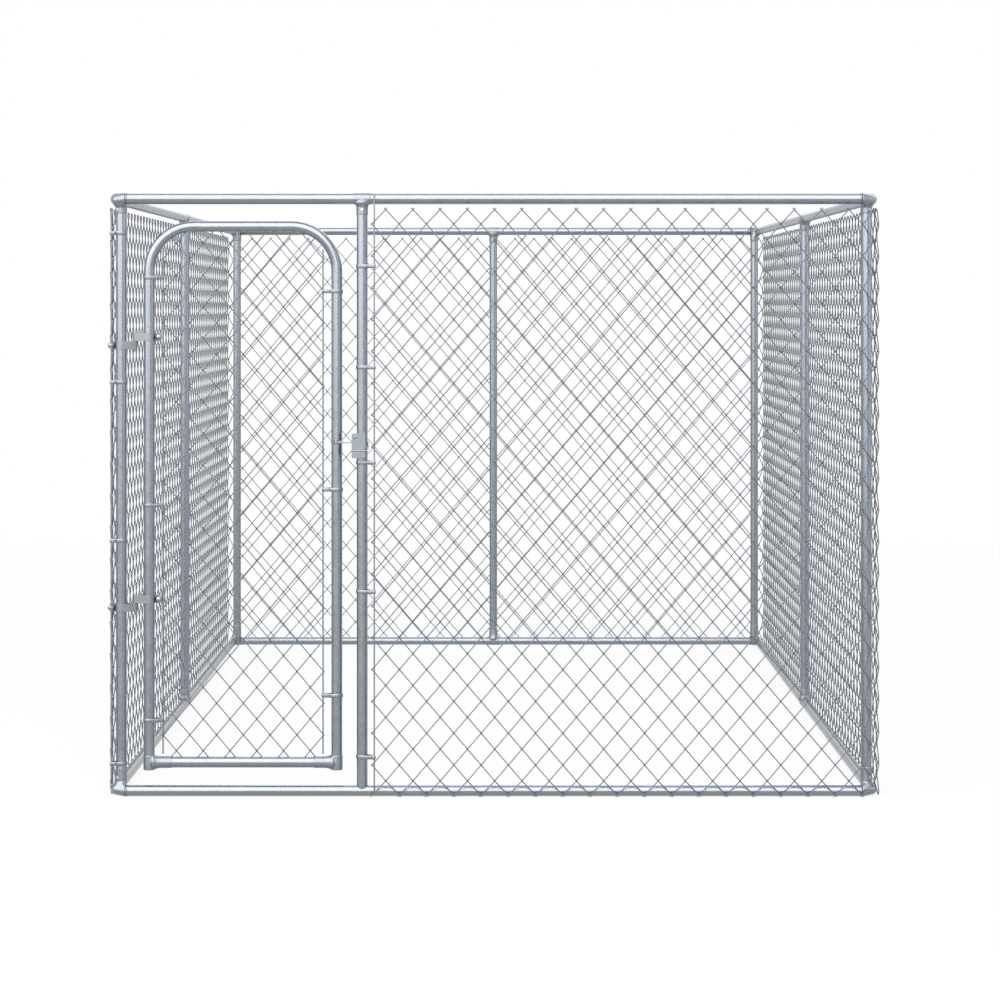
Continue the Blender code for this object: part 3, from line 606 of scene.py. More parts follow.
def make_gate_tees():
    tee = tee_mesh("gate_tee", GATE_TEE_LENGTH, GATE_TEE_FLARE_END, GATE_TEE_BRANCH)
    for side, x, heading in (("left", GATE_LEFT_X, 90), ("right", GATE_RIGHT_X, -90)):
        place = shifted(x, POST_FRONT_Y, GATE_RAIL_Z) @ turned(heading, "Y")
        place_casting(f"gate_tee_{side}", tee, place, "gate")


# Chain-link fabric
WIRE_R = 0.0017
WIRE_SIDES = 6
WEAVE = 0.0025
BITE = 0.00165
KNUCKLE = 0.0042
HOOK_HALF = 0.0013
TAIL_TURN = (0.0006, 0, 0.0016)
TAIL_TIP = (0.0046, 0.0055, 0.0008)
HALF_DIAMOND = 0.048154
PROBE = 0.01


def woven(columns, rows):
    """The wires of chain-link fabric, each a flattened coil hooked through its neighbours.

    columns are distances along the fabric and rows are heights. Two wires meet where column and row
    numbers add up to an even number. A wire is a list of (distance, height, depth).
    """
    last = len(rows) - 1
    wires = []
    for i in range(len(columns) - 1):
        left, right = columns[i], columns[i + 1]
        line = []
        for k, z in enumerate(rows):
            on_left = (i + k) % 2 == 0
            here, inward, depth = (left, 1, -1) if on_left else (right, -1, 1)
            below = rows[k] - rows[k - 1] if k else rows[1] - rows[0]
            above = rows[k + 1] - rows[k] if k < last else below
            into = Vector((right - left, below)).normalized()
            out = Vector((right - left, above)).normalized()
            if k > 0:
                line.append((here + inward * into.x * KNUCKLE, z - into.y * KNUCKLE, depth * WEAVE))
            if 0 < k < last:
                hooked = here - inward * BITE
                line.append((hooked, z - HOOK_HALF, depth * WEAVE * 0.5))
                line.append((hooked, z + HOOK_HALF, -depth * WEAVE * 0.5))
            else:
                up, lean = (1, depth) if k else (-1, -depth)
                tail = [
                    (here - inward * across, z + up * rise, lean * proud)
                    for across, rise, proud in (TAIL_TURN, TAIL_TIP)
                ]
                line += tail if k else tail[::-1]
            if k < last:
                line.append((here + inward * out.x * KNUCKLE, z + out.y * KNUCKLE, -depth * WEAVE))
        wires.append(line)
    return wires


def wire_shape(wires, at):
    """Points and faces of round wires without their ends, where at(distance, depth) is a place in plan."""
    all_points, all_faces = [], []
    start = 0
    turn = np.arange(WIRE_SIDES) * math.tau / WIRE_SIDES
    for line in wires:
        flat = np.array([at(s, depth) for s, _, depth in line])
        centre = np.column_stack([flat, [z for _, z, _ in line]])
        step = np.diff(centre, axis=0)
        step /= np.linalg.norm(step, axis=1)[:, None]
        ahead = np.vstack([step[:1], step[:-1] + step[1:], step[-1:]])
        ahead /= np.linalg.norm(ahead, axis=1)[:, None]
        out = np.array([at(s, depth + PROBE) for s, _, depth in line]) - flat
        out = np.column_stack([out, np.zeros(len(out))])
        side = np.cross(ahead, out)
        side /= np.linalg.norm(side, axis=1)[:, None]
        other = np.cross(side, ahead)
        ring = centre[:, None] + WIRE_R * (
            side[:, None] * np.cos(turn)[None, :, None] + other[:, None] * np.sin(turn)[None, :, None]
        )
        all_points.append(ring.reshape(-1, 3))
        i = np.arange(len(line) - 1)[:, None] * WIRE_SIDES + start
        j = np.arange(WIRE_SIDES)[None, :]
        k = (j + 1) % WIRE_SIDES
        corners = [i + j, i + k, i + WIRE_SIDES + k, i + WIRE_SIDES + j]
        all_faces.append(np.stack(corners, axis=-1).reshape(-1, 4))
        start += len(line) * WIRE_SIDES
    return np.vstack(all_points), np.vstack(all_faces)


def wire_mesh(name, wires, at):
    """A mesh of round wires with closed ends."""
    points, quads = wire_shape(wires, at)
    caps, start = [], 0
    for line in wires:
        end = start + (len(line) - 1) * WIRE_SIDES
        caps.append(list(range(start, start + WIRE_SIDES))[::-1])
        caps.append(list(range(end, end + WIRE_SIDES)))
        start = end + WIRE_SIDES
    mesh = bpy.data.meshes.new(name)
    mesh.from_pydata(points.tolist(), [], quads.tolist() + caps)
    mesh.validate()
    mesh.update()
    return mesh


# The roll's columns. Those of the rear are counted from the one at REAR_NODE_X, and fall to the left
FABRIC_OFFSET = TUBE_R + SEAT + 0.004
FABRIC_START_X = LATCH_POST_X + 0.0307
FRONT_PITCH = 0.04123
FRONT_COLUMNS = 36
SIDE_COLUMNS = 100
REAR_NODE_X = -0.4095
REAR_PITCH = 0.04125
REAR_FROM, REAR_TO = 37, -17
LEFT_COLUMNS = 99
FABRIC_FOOT, FABRIC_TOP = 0.0075, 1.7795
FIRST_ROW_Z = 0.0503
ROW_Z = [FABRIC_FOOT] + [FIRST_ROW_Z + HALF_DIAMOND * k for k in range(36)] + [FABRIC_TOP]
BEND_R = 0.030
BEND_OUTER = BEND_R + FABRIC_OFFSET
QUARTER = BEND_OUTER * math.pi / 2
FRONT_RUN = SIDE_X - BEND_R - FABRIC_START_X
SIDE_RUN = REAR_Y - FRONT_Y - 2 * BEND_R


def fabric_route():
    """The plan of the roll of fabric: stretches of (length, start, heading, 1 where it bends).

    The start of a bend is its centre, and its heading that of the spoke to its first point.
    """
    bend_x, front_bend_y, rear_bend_y = SIDE_X - BEND_R, FRONT_Y + BEND_R, REAR_Y - BEND_R
    return [
        (FRONT_RUN, Vector((FABRIC_START_X, FRONT_Y - FABRIC_OFFSET)), 0, 0),
        (QUARTER, Vector((bend_x, front_bend_y)), -90, 1),
        (SIDE_RUN, Vector((SIDE_X + FABRIC_OFFSET, front_bend_y)), 90, 0),
        (QUARTER, Vector((bend_x, rear_bend_y)), 0, 1),
        (2 * bend_x, Vector((bend_x, REAR_Y + FABRIC_OFFSET)), 180, 0),
        (QUARTER, Vector((-bend_x, rear_bend_y)), 90, 1),
        (SIDE_RUN + BEND_R, Vector((-SIDE_X - FABRIC_OFFSET, rear_bend_y)), 270, 0),
    ]


ROUTE = fabric_route()
ROUTE_LENGTH = sum(stretch[0] for stretch in ROUTE)
PULL_IN = 0.009
PULL_LENGTH = 0.11


def on_route(distance, depth):
    """The place in plan at a distance along the roll and a depth outwards, drawn in near its end."""
    left_over = distance
    for n, (length, start, heading, bends) in enumerate(ROUTE):
        if left_over <= length or n == len(ROUTE) - 1:
            break
        left_over -= length
    angle = math.radians(heading)
    if bends:
        angle += left_over / BEND_OUTER
        reach = BEND_OUTER + depth
        return start.x + reach * math.cos(angle), start.y + reach * math.sin(angle)
    near = min(max(1 - (ROUTE_LENGTH - distance) / PULL_LENGTH, 0), 1)
    depth -= PULL_IN * near * near * (3 - 2 * near)
    x = start.x + left_over * math.cos(angle) + depth * math.sin(angle)
    y = start.y + left_over * math.sin(angle) - depth * math.cos(angle)
    return x, y


def evenly(start, end, count):
    """Places after a start that divide the way to an end into equal parts."""
    return [start + (end - start) * c / count for c in range(1, count + 1)]


def make_walls():
    """The roll of fabric, from the latch post round the right side and the rear to the left front post."""
    rear_start = FRONT_RUN + 2 * QUARTER + SIDE_RUN
    first_rear = rear_start + SIDE_X - BEND_R - (REAR_NODE_X + REAR_FROM * REAR_PITCH)
    last_rear = first_rear + (REAR_FROM - REAR_TO) * REAR_PITCH
    columns = [FRONT_PITCH * c for c in range(FRONT_COLUMNS + 1)]
    columns += evenly(columns[-1], first_rear, SIDE_COLUMNS)
    columns += evenly(first_rear, last_rear, REAR_FROM - REAR_TO)
    columns += evenly(last_rear, ROUTE_LENGTH, LEFT_COLUMNS)
    obj = object_of("fabric_roll", wire_mesh("fabric_roll", woven(columns, ROW_Z), on_route))
    walls = ["fabric_front", "fabric_rear", "fabric_left", "fabric_right"]
    dress(obj, "frame", [wire_zinc], walls, angle=80)


GATE_BAR_X = (GATE_LEFT_X + 0.0422, GATE_RIGHT_X - 0.0399)
GATE_COLUMNS = 12
GATE_ROWS = range(-2, 34)
GATE_NODE_Z = 0.1848
GATE_FABRIC_Y = POST_FRONT_Y - 0.0045
GATE_FABRIC_FOOT = GATE_RAIL_Z + TUBE_R * 0.96
GATE_FABRIC_LAP = TUBE_R * 0.55


def gate_fabric_top(x):
    """The height in the arch's tube where the gate's fabric ends, at a place between the stiles."""
    from_stile = min(x - GATE_LEFT_X, GATE_RIGHT_X - x)
    sideways = max(0.0, GATE_BEND_R - from_stile)
    arch_z = GATE_TOP_Z - GATE_BEND_R + math.sqrt(max(GATE_BEND_R**2 - sideways**2, 0))
    return arch_z - GATE_FABRIC_LAP


def clipped(line):
    """A gate wire cut off on the bottom rail and inside the arch's tube."""
    made = []
    for n, here in enumerate(line):
        x, z, _ = here
        room = min(z - GATE_FABRIC_FOOT, gate_fabric_top(x) - z)
        if n and (room > 0) != (room_before > 0):
            share = room_before / (room_before - room)
            made.append(tuple(a + (b - a) * share for a, b in zip(line[n - 1], here)))
        if room > 0:
            made.append(here)
        room_before = room
    return made


def make_gate_fabric():
    pitch = (GATE_BAR_X[1] - GATE_BAR_X[0]) / GATE_COLUMNS
    columns = [GATE_BAR_X[0] + pitch * c for c in range(GATE_COLUMNS + 1)]
    rows = [GATE_NODE_Z + HALF_DIAMOND * k for k in GATE_ROWS]
    wires = [clipped(line) for line in woven(columns, rows)]

    def at(x, depth):
        return x, GATE_FABRIC_Y - depth

    obj = object_of("gate_fabric_wires", wire_mesh("gate_fabric_wires", wires, at))
    dress(obj, "gate", [wire_zinc], ["gate_fabric"], angle=80)


# Tension bars and bands. A bar's place is measured from its post, and a band's is a share of its bar
BAR_R = 0.0023
LATCH_BAR = (0.0376, -0.0193)
CORNER_BAR = (-0.0288, -0.0157)
GATE_LEFT_BAR = (0.042, 0)
GATE_RIGHT_BAR = (-0.042, 0)
BAND_WALL = 0.0024
BAND_HEIGHT = 0.012
BAND_SECTION = (
    (-0.5, 0), (-0.5, 0.45), (-0.42, 0.70), (-0.22, 0.93), (0, 1), (0.22, 0.93), (0.42, 0.70), (0.5, 0.45),
    (0.5, 0),
)
LATCH_BANDS = (0.060, 0.336, 0.552, 0.711, 0.880)
CORNER_BANDS = (0.036, 0.423, 0.698, 0.957)
GATE_LEFT_BANDS = (0.067, 0.493, 0.944)
GATE_RIGHT_BANDS = (0.116, 0.524, 0.917)

# Band bolts. The dome has shares of the head's radius and heights over the grip
BAND_BOLT_R = 0.0022
BAND_BOLT_HEAD_R = 0.0044
BAND_BOLT_DOME = ((0, 0.0028), (0.35, 0.0026), (0.7, 0.0019), (0.95, 0.0008), (1, 0.0002), (1, 0))
BAND_BOLT_END = 0.0068
BAND_BOLT_CHAMFER = 0.0006
BAND_BOLT_FROM_TUBE = 0.0065
BAND_NUT_R = 0.005
BAND_NUT_HEIGHT = 0.0036
BAND_NUT_BEVEL = 0.0004


def belt(big, big_r, small, small_r, big_steps=28, small_steps=8):
    """The outline of a belt drawn tight round two circles."""
    across = Vector(small) - Vector(big)
    heading = math.atan2(across.y, across.x)
    tilt = math.acos((big_r - small_r) / across.length)
    outside = around(big, big_r, heading + tilt, heading + math.tau - tilt, big_steps)
    return outside + around(small, small_r, heading - tilt, heading + tilt, small_steps)


def band(tube_at, bar_at, bar_r=BAR_R, height=BAND_HEIGHT):
    """A strap with a crowned face, drawn tight round a tube and a bar."""
    seat = TUBE_R + SEAT / 2
    loops = []
    for share, proud in BAND_SECTION:
        reach = BAND_WALL * proud
        outline = belt(tube_at, seat + reach, bar_at, bar_r + reach)
        loops.append([(x, y, share * height) for x, y in outline])
    return wall_of_loops(loops)


def nut(radius, rim_r, bevel, start, end):
    """A hexagonal nut along Z with bevelled edges, from its upper face down to its lower one."""
    return lathe([
        (0, start), (rim_r, start), (radius, start - bevel),
        (radius, end + bevel), (rim_r, end), (0, end),
    ], 6)


def band_bolt(grip):
    """The parts of a domed bolt along Z, its head above the grip and its nut below."""
    half = grip / 2
    tip = -half - BAND_BOLT_END
    profile = [(BAND_BOLT_HEAD_R * share, half + rise) for share, rise in BAND_BOLT_DOME]
    profile += [(BAND_BOLT_R, half), (BAND_BOLT_R, tip + BAND_BOLT_CHAMFER)]
    profile += [(BAND_BOLT_R * 0.7, tip), (0, tip)]
    rim_r = BAND_NUT_R - BAND_NUT_BEVEL
    return [lathe(profile, 20), nut(BAND_NUT_R, rim_r, BAND_NUT_BEVEL, -half, -half - BAND_NUT_HEIGHT)]


def tension_bar(node, body, post, bar, shares):
    """A bar in the fabric's edge, with the bands that clamp it to its post and their bolts."""
    low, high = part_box(node)
    across = Vector(bar)
    bar_at = (post[0] + bar[0], post[1] + bar[1])
    spot = Vector(post) + across.normalized() * (TUBE_R + BAND_BOLT_FROM_TUBE)
    big_r, small_r = TUBE_R + SEAT / 2 + BAND_WALL, BAR_R + BAND_WALL
    tilt = math.acos((big_r - small_r) / across.length)
    grip = 2 * (big_r - (TUBE_R + BAND_BOLT_FROM_TUBE) * math.cos(tilt)) / math.sin(tilt)
    through = turned(math.degrees(math.atan2(across.y, across.x)), "Z") @ turned(90, "X")
    steel = Shape().add(sweep([(*bar_at, low.z), (*bar_at, high.z)], BAR_R, 12))
    bolts = Shape()
    for share in shares:
        z = low.z + share * (high.z - low.z)
        steel.add(band(post, bar_at), shifted(0, 0, z))
        for part in band_bolt(grip):
            bolts.add(part, shifted(spot.x, spot.y, z) @ through)
    dress(piece(node + "_steel", steel), body, [band_zinc], [node])
    dress(piece(node + "_bolts", bolts), body, [band_zinc])


def make_bars():
    latch_post, corner_post = (LATCH_POST_X, FRONT_Y), (-POST_X, POST_FRONT_Y)
    left, right = (GATE_LEFT_X, POST_FRONT_Y), (GATE_RIGHT_X, POST_FRONT_Y)
    tension_bar("tension_bar_front", "frame", latch_post, LATCH_BAR, LATCH_BANDS)
    tension_bar("tension_bar_left", "frame", corner_post, CORNER_BAR, CORNER_BANDS)
    tension_bar("gate_tension_bar_left", "gate", left, GATE_LEFT_BAR, GATE_LEFT_BANDS)
    tension_bar("gate_tension_bar_right", "gate", right, GATE_RIGHT_BAR, GATE_RIGHT_BANDS)


# Hinges
HINGE_WALL = 0.0026
HINGE_PLAY = 0.0004
HINGE_BEVEL = 0.0005
PIN_R = 0.004
PIN_HEAD_R = 0.0065
PIN_HEAD_HEIGHT = 0.0029
PIN_HEAD_DROP = 0.0030
PIN_CHAMFER = 0.0012
EAR_END = 0.0345
EAR_HALF = 0.0037
EAR_OPENING = 0.0015
EAR_BEND = 0.0018
BOLT_REACH = 0.0300
BOLT_NECK = 0.005
BOLT_NECK_R = 0.0048
BOLT_SEAT = 0.0053
BOLT_R = 0.0027
BOLT_TIP_R = 0.0021
BOLT_END = 0.0074
BOLT_CHAMFER = 0.0008
BOLT_HEAD_R = 0.0098
BOLT_HEAD_RIM = 0.0006
BOLT_HEAD_RISE = 0.0072
WASHER_R = 0.0068
WASHER_WALL = 0.0009
NUT_R = 0.0060
NUT_RIM_R = 0.0056
NUT_BEVEL = 0.0005
NUT_END = 0.0050

# Latch
LATCH_Z = 1.065
LATCH_WIDTH, LATCH_HEIGHT = 0.041, 0.074
LATCH_LEFT_X = LATCH_POST_X - 0.0305
LATCH_RIGHT_X = LATCH_LEFT_X + LATCH_WIDTH
LATCH_TOP_Z = LATCH_Z + LATCH_HEIGHT / 2
LATCH_BEVEL = 0.0006
LATCH_CORNER_R = 0.0025
STRAP_WALL = 0.0025
STRAP_HEIGHT = 0.022
STRAP_START, STRAP_END = -75, 255
PAD_BACK_Y = FRONT_Y - TUBE_R - SEAT
PAD_FRONT_Y = PAD_BACK_Y - 0.011
PAD_DROP = 0.0247
PAD_INSET = 0.0025
CATCH_BACK_Y = PAD_FRONT_Y - SEAT
CATCH_FRONT_Y = CATCH_BACK_Y - 0.003
PIVOT_X, PIVOT_Z = LATCH_LEFT_X + 0.0105, LATCH_TOP_Z - 0.011
RIVET_R = 0.0027
RIVET_HEAD_R = 0.0050
RIVET_RIM = 0.0006
RIVET_RISE = 0.0019
HANDLE_R = 0.0017
HANDLE_Z = LATCH_Z - 0.015
HANDLE_Y = CATCH_FRONT_Y - HANDLE_R
STRIKER_R = 0.002
STRIKER_Y = PAD_FRONT_Y + 0.0046
STRIKER_Z = PIVOT_Z - 0.0165
STRIKER_START_X = GATE_RIGHT_X - 0.0035
STRIKER_END_X = LATCH_LEFT_X + 0.024
STRIKER_BAND_HEIGHT = 0.009
STRIKER_BEVEL = 0.0004
NOTCH_PLAY = 0.002
NOTCH_OPEN = 0.01


def strip(path, wall, height):
    """Points and faces of an upright strap of sheet metal whose middle follows a path in XY."""
    path = [Vector(p) for p in path]
    sides = [[], []]
    for n, here in enumerate(path):
        into = (here - path[n - 1]).normalized() if n else (path[1] - here).normalized()
        out = (path[n + 1] - here).normalized() if n < len(path) - 1 else into
        normal = Vector((-(into + out).y, (into + out).x)).normalized()
        reach = wall / 2 / max(normal.dot(Vector((-into.y, into.x))), 0.5)
        sides[0].append(here + normal * reach)
        sides[1].append(here - normal * reach)
    loop = sides[0] + sides[1][::-1]
    count, last = len(loop), len(path) - 1
    points = [(p.x, p.y, z) for z in (-height / 2, height / 2) for p in loop]
    faces = [[i, (i + 1) % count, count + (i + 1) % count, count + i] for i in range(count)]
    for i in range(last):
        far = count - 1 - i
        faces.append([i, far, far - 1, i + 1])
        faces.append([count + i, count + i + 1, count + far - 1, count + far])
    return points, faces


def hinge_leaf(node, body, tube_x):
    """A strap bent round a tube and the hinge pin, its two ears drawn together by a bolt."""
    low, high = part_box(node)
    spread = abs(HINGE_X - tube_x)
    tube_r = TUBE_R + SEAT + HINGE_WALL / 2
    pin_r = PIN_R + HINGE_PLAY + HINGE_WALL / 2
    tilt = math.acos((tube_r - pin_r) / spread)
    leave = math.asin((EAR_HALF + EAR_OPENING) / tube_r)
    path = [(-EAR_END, -EAR_HALF), (-tube_r - EAR_BEND, -EAR_HALF)]
    path += around((0, 0), tube_r, math.pi + leave, math.tau - tilt, 24)
    path += around((spread, 0), pin_r, -tilt, tilt, 12)
    path += around((0, 0), tube_r, tilt, math.pi - leave, 24)
    path += [(-tube_r - EAR_BEND, EAR_HALF), (-EAR_END, EAR_HALF)]
    towards_pin = turned(0 if tube_x < HINGE_X else 180, "Z")
    place = shifted(tube_x, POST_FRONT_Y, (low.z + high.z) / 2) @ towards_pin
    obj = piece(node + "_steel", Shape().add(strip(path, HINGE_WALL, high.z - low.z), place))
    soften(obj, HINGE_BEVEL)
    dress(obj, body, [band_zinc], [node])


def domed(radius, base, height, steps=6):
    """A profile over a round head, from its top to its rim."""
    line = []
    for i in range(steps + 1):
        angle = math.pi / 2 * i / steps
        line.append((radius * math.sin(angle), base + height * math.cos(angle)))
    return line


def hinge_bolt(node, body, tube_x):
    """A domed bolt through the ears, with its washer, its nut and its end behind."""
    low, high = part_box(node)
    neck, washer_face = BOLT_SEAT + BOLT_NECK, -BOLT_SEAT - WASHER_WALL
    tip = -BOLT_SEAT - BOLT_END
    profile = domed(BOLT_HEAD_R, neck + BOLT_HEAD_RIM, BOLT_HEAD_RISE)
    profile += [(BOLT_HEAD_R, neck), (BOLT_NECK_R, neck), (BOLT_NECK_R, BOLT_SEAT), (BOLT_R, BOLT_SEAT)]
    profile += [(BOLT_R, tip + BOLT_CHAMFER), (BOLT_TIP_R, tip), (0, tip)]
    washer = [(BOLT_R, -BOLT_SEAT), (WASHER_R, -BOLT_SEAT), (WASHER_R, washer_face), (BOLT_R, washer_face)]
    outwards = -1 if tube_x < HINGE_X else 1
    place = shifted(tube_x + outwards * BOLT_REACH, POST_FRONT_Y, (low.z + high.z) / 2) @ turned(90, "X")
    shape = Shape().add(lathe(profile, 32), place).add(lathe(washer, 24, closed=True), place)
    shape.add(nut(NUT_R, NUT_RIM_R, NUT_BEVEL, washer_face, -BOLT_SEAT - NUT_END), place)
    dress(piece(node + "_steel", shape), body, [bright_zinc], [node])


def hinge_pin(node):
    low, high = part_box(node)
    top = high.z - PIN_HEAD_DROP
    profile = domed(PIN_HEAD_R, top, PIN_HEAD_HEIGHT)
    profile += [(PIN_R, top), (PIN_R, low.z + PIN_CHAMFER), (PIN_R - PIN_CHAMFER, low.z), (0, low.z)]
    shape = Shape().add(lathe(profile, 24), shifted((low.x + high.x) / 2, (low.y + high.y) / 2, 0))
    dress(piece(node + "_steel", shape), "frame", [bright_zinc], [node])


def make_hinges():
    for level in ("upper", "lower"):
        hinge_leaf(f"hinge_{level}_post_leaf", "frame", -POST_X)
        hinge_leaf(f"hinge_{level}_gate_leaf", "gate", GATE_LEFT_X)
        hinge_bolt(f"hinge_{level}_post_bolt", "frame", -POST_X)
        hinge_bolt(f"hinge_{level}_gate_bolt", "gate", GATE_LEFT_X)
        hinge_pin(f"hinge_{level}_pin")


def rounded(low, high, radius, steps=5):
    """The outline of a rectangle with rounded corners."""
    line = []
    corners = (high[0], high[1]), (low[0], high[1]), (low[0], low[1]), (high[0], low[1])
    for turn, (x, y) in enumerate(corners):
        centre = (x + (radius if turn in (1, 2) else -radius), y + (radius if turn > 1 else -radius))
        line += around(centre, radius, turn * math.pi / 2, (turn + 1) * math.pi / 2, steps)
    return line


def plate(outline, back, front):
    """Points and faces of an upright plate with an outline in XZ, between two depths."""
    count = len(outline)
    points = [(x, y, z) for y in (back, front) for x, z in outline]
    faces = [[i, (i + 1) % count, count + (i + 1) % count, count + i] for i in range(count)]
    faces += [list(range(count))[::-1], [count + i for i in range(count)]]
    return points, faces


def make_bracket():
    """The pad with its notch for the rod, and the strap that holds it on the latch post."""
    play = STRIKER_R + NOTCH_PLAY
    pad = block(
        (LATCH_LEFT_X + SEAT, PAD_FRONT_Y, LATCH_Z - PAD_DROP),
        (LATCH_RIGHT_X - PAD_INSET, PAD_BACK_Y, LATCH_TOP_Z - SEAT),
    )
    notch = block(
        (LATCH_LEFT_X - NOTCH_OPEN, PAD_FRONT_Y - NOTCH_OPEN, STRIKER_Z - play),
        (STRIKER_END_X + NOTCH_PLAY, STRIKER_Y + play, STRIKER_Z + play),
    )
    obj = cut(piece("latch_bracket_steel", Shape().add(pad)), Shape().add(notch))
    shape = Shape().add(taken(obj.data))
    bpy.data.objects.remove(obj, do_unlink=True)
    strap_r = TUBE_R + SEAT + STRAP_WALL / 2
    start, end = math.radians(STRAP_START), math.radians(STRAP_END)
    hoop = around((LATCH_POST_X, FRONT_Y), strap_r, start, end, 44)
    shape.add(strip(hoop, STRAP_WALL, STRAP_HEIGHT), shifted(0, 0, LATCH_Z))
    obj = piece("latch_bracket_steel", shape)
    soften(obj, HINGE_BEVEL)
    dress(obj, "frame", [band_zinc], ["latch_bracket"])


def make_catch():
    """The plate that hangs on its rivet."""
    foot, top = (LATCH_LEFT_X, LATCH_TOP_Z - LATCH_HEIGHT), (LATCH_RIGHT_X, LATCH_TOP_Z)
    outline = rounded(foot, top, LATCH_CORNER_R)
    obj = piece("latch_catch_steel", Shape().add(plate(outline, CATCH_BACK_Y, CATCH_FRONT_Y)))
    soften(obj, LATCH_BEVEL)
    dress(obj, "latch", [band_zinc], ["latch_catch"])


def make_handle():
    """The wire across the plate, from behind its left edge to the curl past its right one."""
    left, right, y, z = LATCH_LEFT_X, LATCH_RIGHT_X, HANDLE_Y, HANDLE_Z
    wire = [
        (left - 0.0022, CATCH_BACK_Y + 0.0016, z - 0.001),
        (left - 0.0022, y + 0.0012, z),
        (left - 0.0008, y, z),
        (right + 0.0040, y, z),
        (right + 0.0068, y + 0.0006, z + 0.0006),
        (right + 0.0080, y + 0.0020, z + 0.0030),
        (right + 0.0072, y + 0.0032, z + 0.0075),
        (right + 0.0030, y + 0.0040, z + 0.0130),
    ]
    obj = piece("latch_wire", Shape().add(sweep(wire, HANDLE_R, 12)))
    dress(obj, "latch", [bright_zinc])


def make_rivet():
    face, end = -CATCH_FRONT_Y + SEAT, -PAD_BACK_Y
    profile = domed(RIVET_HEAD_R, -CATCH_FRONT_Y + RIVET_RIM, RIVET_RISE)
    profile += [(RIVET_HEAD_R, face), (RIVET_R, face), (RIVET_R, end), (0, end)]
    shape = Shape().add(lathe(profile, 28), shifted(PIVOT_X, 0, PIVOT_Z) @ turned(90, "X"))
    dress(piece("latch_pivot_steel", shape), "frame", [band_zinc], ["latch_pivot"])


def make_striker():
    """The rod that the plate holds, with its band round the gate's right stile."""
    stile, rod_at = (GATE_RIGHT_X, POST_FRONT_Y), (GATE_RIGHT_X, STRIKER_Y)
    shape = Shape().add(band(stile, rod_at, STRIKER_R, STRIKER_BAND_HEIGHT), shifted(0, 0, STRIKER_Z))
    rod = [(STRIKER_START_X, STRIKER_Y, STRIKER_Z), (STRIKER_END_X, STRIKER_Y, STRIKER_Z)]
    shape.add(sweep(rod, STRIKER_R, 16), number=1)
    obj = piece("gate_striker_steel", shape)
    soften(obj, STRIKER_BEVEL)
    dress(obj, "gate", [bright_zinc, wire_zinc], ["gate_striker"])


make_tubes()
make_gate_arch()
make_corners()
make_tees()
make_gate_tees()
make_walls()
make_gate_fabric()
make_bars()
make_hinges()
make_bracket()
make_catch()
make_handle()
make_rivet()
make_striker()


# Stage, light and camera
FLOOR_NEAR, FLOOR_FAR = 3.5, 9.0
GLOW_NEAR, GLOW_FAR = 0.88, 1.0
FLOOR_HALF = 40
FLOOR_GREY = 0.80
WORLD_FILL = 0.15


def seen_rays(tree):
    """A node output that is 1 for rays that are seen, mirrored or passed through glass."""
    path = added(tree, "ShaderNodeLightPath")
    mirrored, passed = path.outputs["Is Glossy Ray"], path.outputs["Is Transmission Ray"]
    either = calculated(tree, "MAXIMUM", mirrored, passed)
    return calculated(tree, "MAXIMUM", path.outputs["Is Camera Ray"], either)


def mixed(tree, share, first, second, target):
    """Sends a mix of two shaders to the tree's output."""
    mix = added(tree, "ShaderNodeMixShader")
    tree.links.new(share, mix.inputs["Fac"])
    tree.links.new(first, mix.inputs[1])
    tree.links.new(second, mix.inputs[2])
    tree.links.new(mix.outputs["Shader"], tree.nodes[target].inputs["Surface"])


def make_floor():
    """A pale floor, nearly white where it is seen or mirrored, that still takes a soft shadow."""
    corners = [(x * FLOOR_HALF, y * FLOOR_HALF, 0) for x, y in ((-1, -1), (1, -1), (1, 1), (-1, 1))]
    floor = piece("floor", Shape().add((corners, [[0, 1, 2, 3]])))
    made, tree, shader = node_material("pale_floor")
    shader.inputs["Base Color"].default_value = (FLOOR_GREY, FLOOR_GREY, FLOOR_GREY, 1)
    shader.inputs["Roughness"].default_value = 0.9
    shader.inputs["Specular IOR Level"].default_value = 0.0
    glow = added(tree, "ShaderNodeEmission", {"Color": (1, 1, 1, 1)})
    place = added(tree, "ShaderNodeNewGeometry")
    away = added(tree, "ShaderNodeVectorMath")
    away.operation = "LENGTH"
    tree.links.new(place.outputs["Position"], away.inputs[0])
    limits = {"From Min": FLOOR_NEAR, "From Max": FLOOR_FAR, "To Min": GLOW_NEAR, "To Max": GLOW_FAR}
    level = added(tree, "ShaderNodeMapRange", limits)
    level.interpolation_type = "SMOOTHSTEP"
    tree.links.new(away.outputs["Value"], level.inputs["Value"])
    share = calculated(tree, "MULTIPLY", seen_rays(tree), level.outputs["Result"])
    mixed(tree, share, shader.outputs["BSDF"], glow.outputs["Emission"], "Material Output")
    floor.data.materials.append(made)


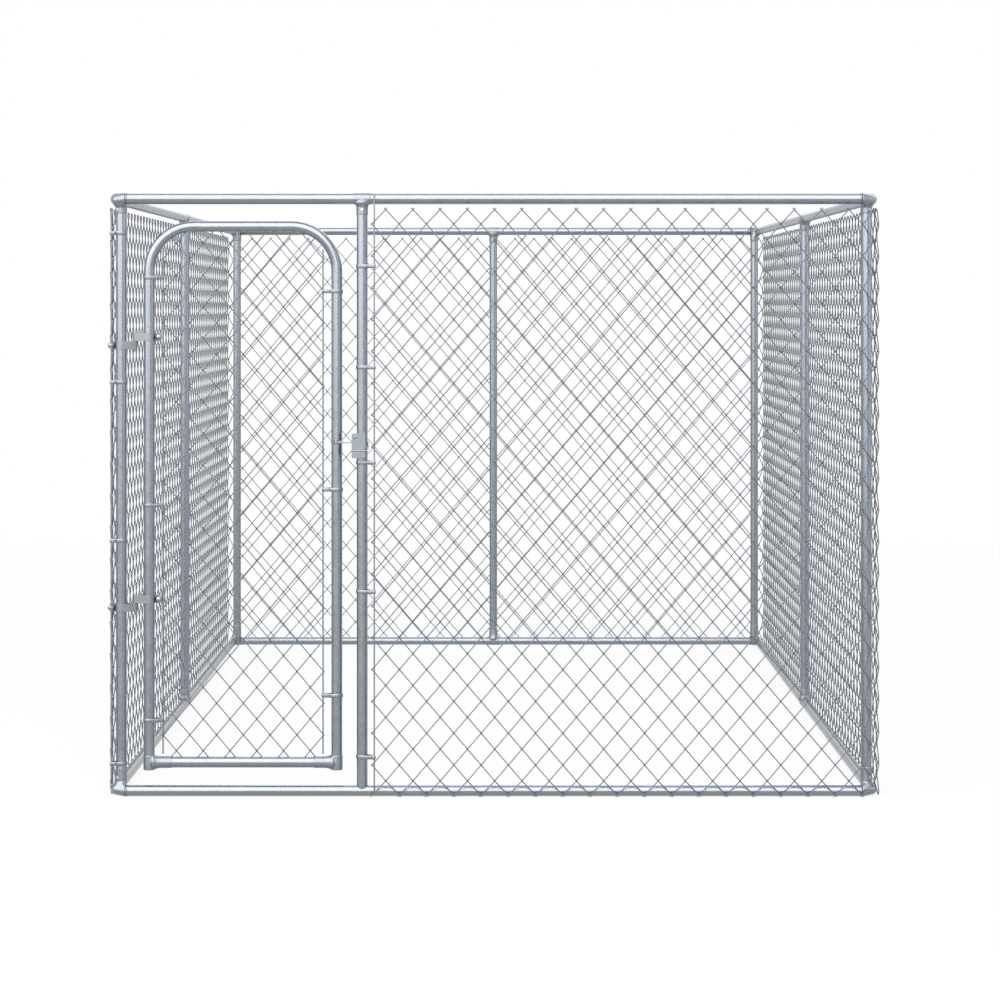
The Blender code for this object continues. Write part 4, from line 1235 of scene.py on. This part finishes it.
def make_world():
    """White where it is seen or mirrored; as a light it only fills the shadows."""
    world = bpy.data.worlds.new("studio")
    bpy.context.scene.world = world
    world.use_nodes = True
    tree = world.node_tree
    white = tree.nodes["Background"]
    white.inputs["Color"].default_value = (1, 1, 1, 1)
    white.inputs["Strength"].default_value = 1.0
    fill = added(tree, "ShaderNodeBackground", {"Color": (1, 1, 1, 1), "Strength": WORLD_FILL})
    share = seen_rays(tree)
    mixed(tree, share, fill.outputs["Background"], white.outputs["Background"], "World Output")


def make_softbox(name, place, aim, size, radiance):
    """A large soft panel of light that isn't seen itself."""
    lamp = bpy.data.lights.new(name, "AREA")
    lamp.shape = "RECTANGLE"
    lamp.size, lamp.size_y = size
    lamp.energy = radiance * math.pi * size[0] * size[1]
    obj = object_of(name, lamp)
    obj.location = place
    obj.rotation_mode = "QUATERNION"
    obj.rotation_quaternion = (Vector(aim) - Vector(place)).to_track_quat("-Z", "Y")
    obj.visible_camera = False


LENS_MM = 107.57
SENSOR_MM = 36
VIEW_SHIFT = -0.19582
VIEW_X = 0.019
VIEW_FROM_FRONT = 9.08
EYE_Z = 1.4931


def make_camera():
    """The photograph's view: level, and shifted down so that the uprights stay parallel."""
    camera = bpy.data.cameras.new("camera")
    camera.sensor_width = SENSOR_MM
    camera.lens = LENS_MM
    camera.shift_y = VIEW_SHIFT
    camera.clip_end = 200
    obj = object_of("camera", camera)
    obj.location = (VIEW_X, POST_FRONT_Y - VIEW_FROM_FRONT, EYE_Z)
    obj.rotation_euler = (math.pi / 2, 0, 0)
    bpy.context.scene.camera = obj


make_floor()
make_world()
make_softbox("key", place=(-3.5, -9.5, 8.6), aim=(0, 0, 1), size=(22, 18), radiance=3.1)
make_softbox("left", place=(-13.0, -4.0, 4.5), aim=(0, 0, 1.5), size=(12, 8), radiance=1.0)
make_softbox("right", place=(13.0, -5.0, 4.5), aim=(0, 0, 1.5), size=(12, 8), radiance=1.1)
make_softbox("back", place=(3.0, 8.0, 9.0), aim=(0, 0, 1), size=(14, 14), radiance=1.2)
make_camera()
bpy.context.scene.view_settings.view_transform = "Standard"
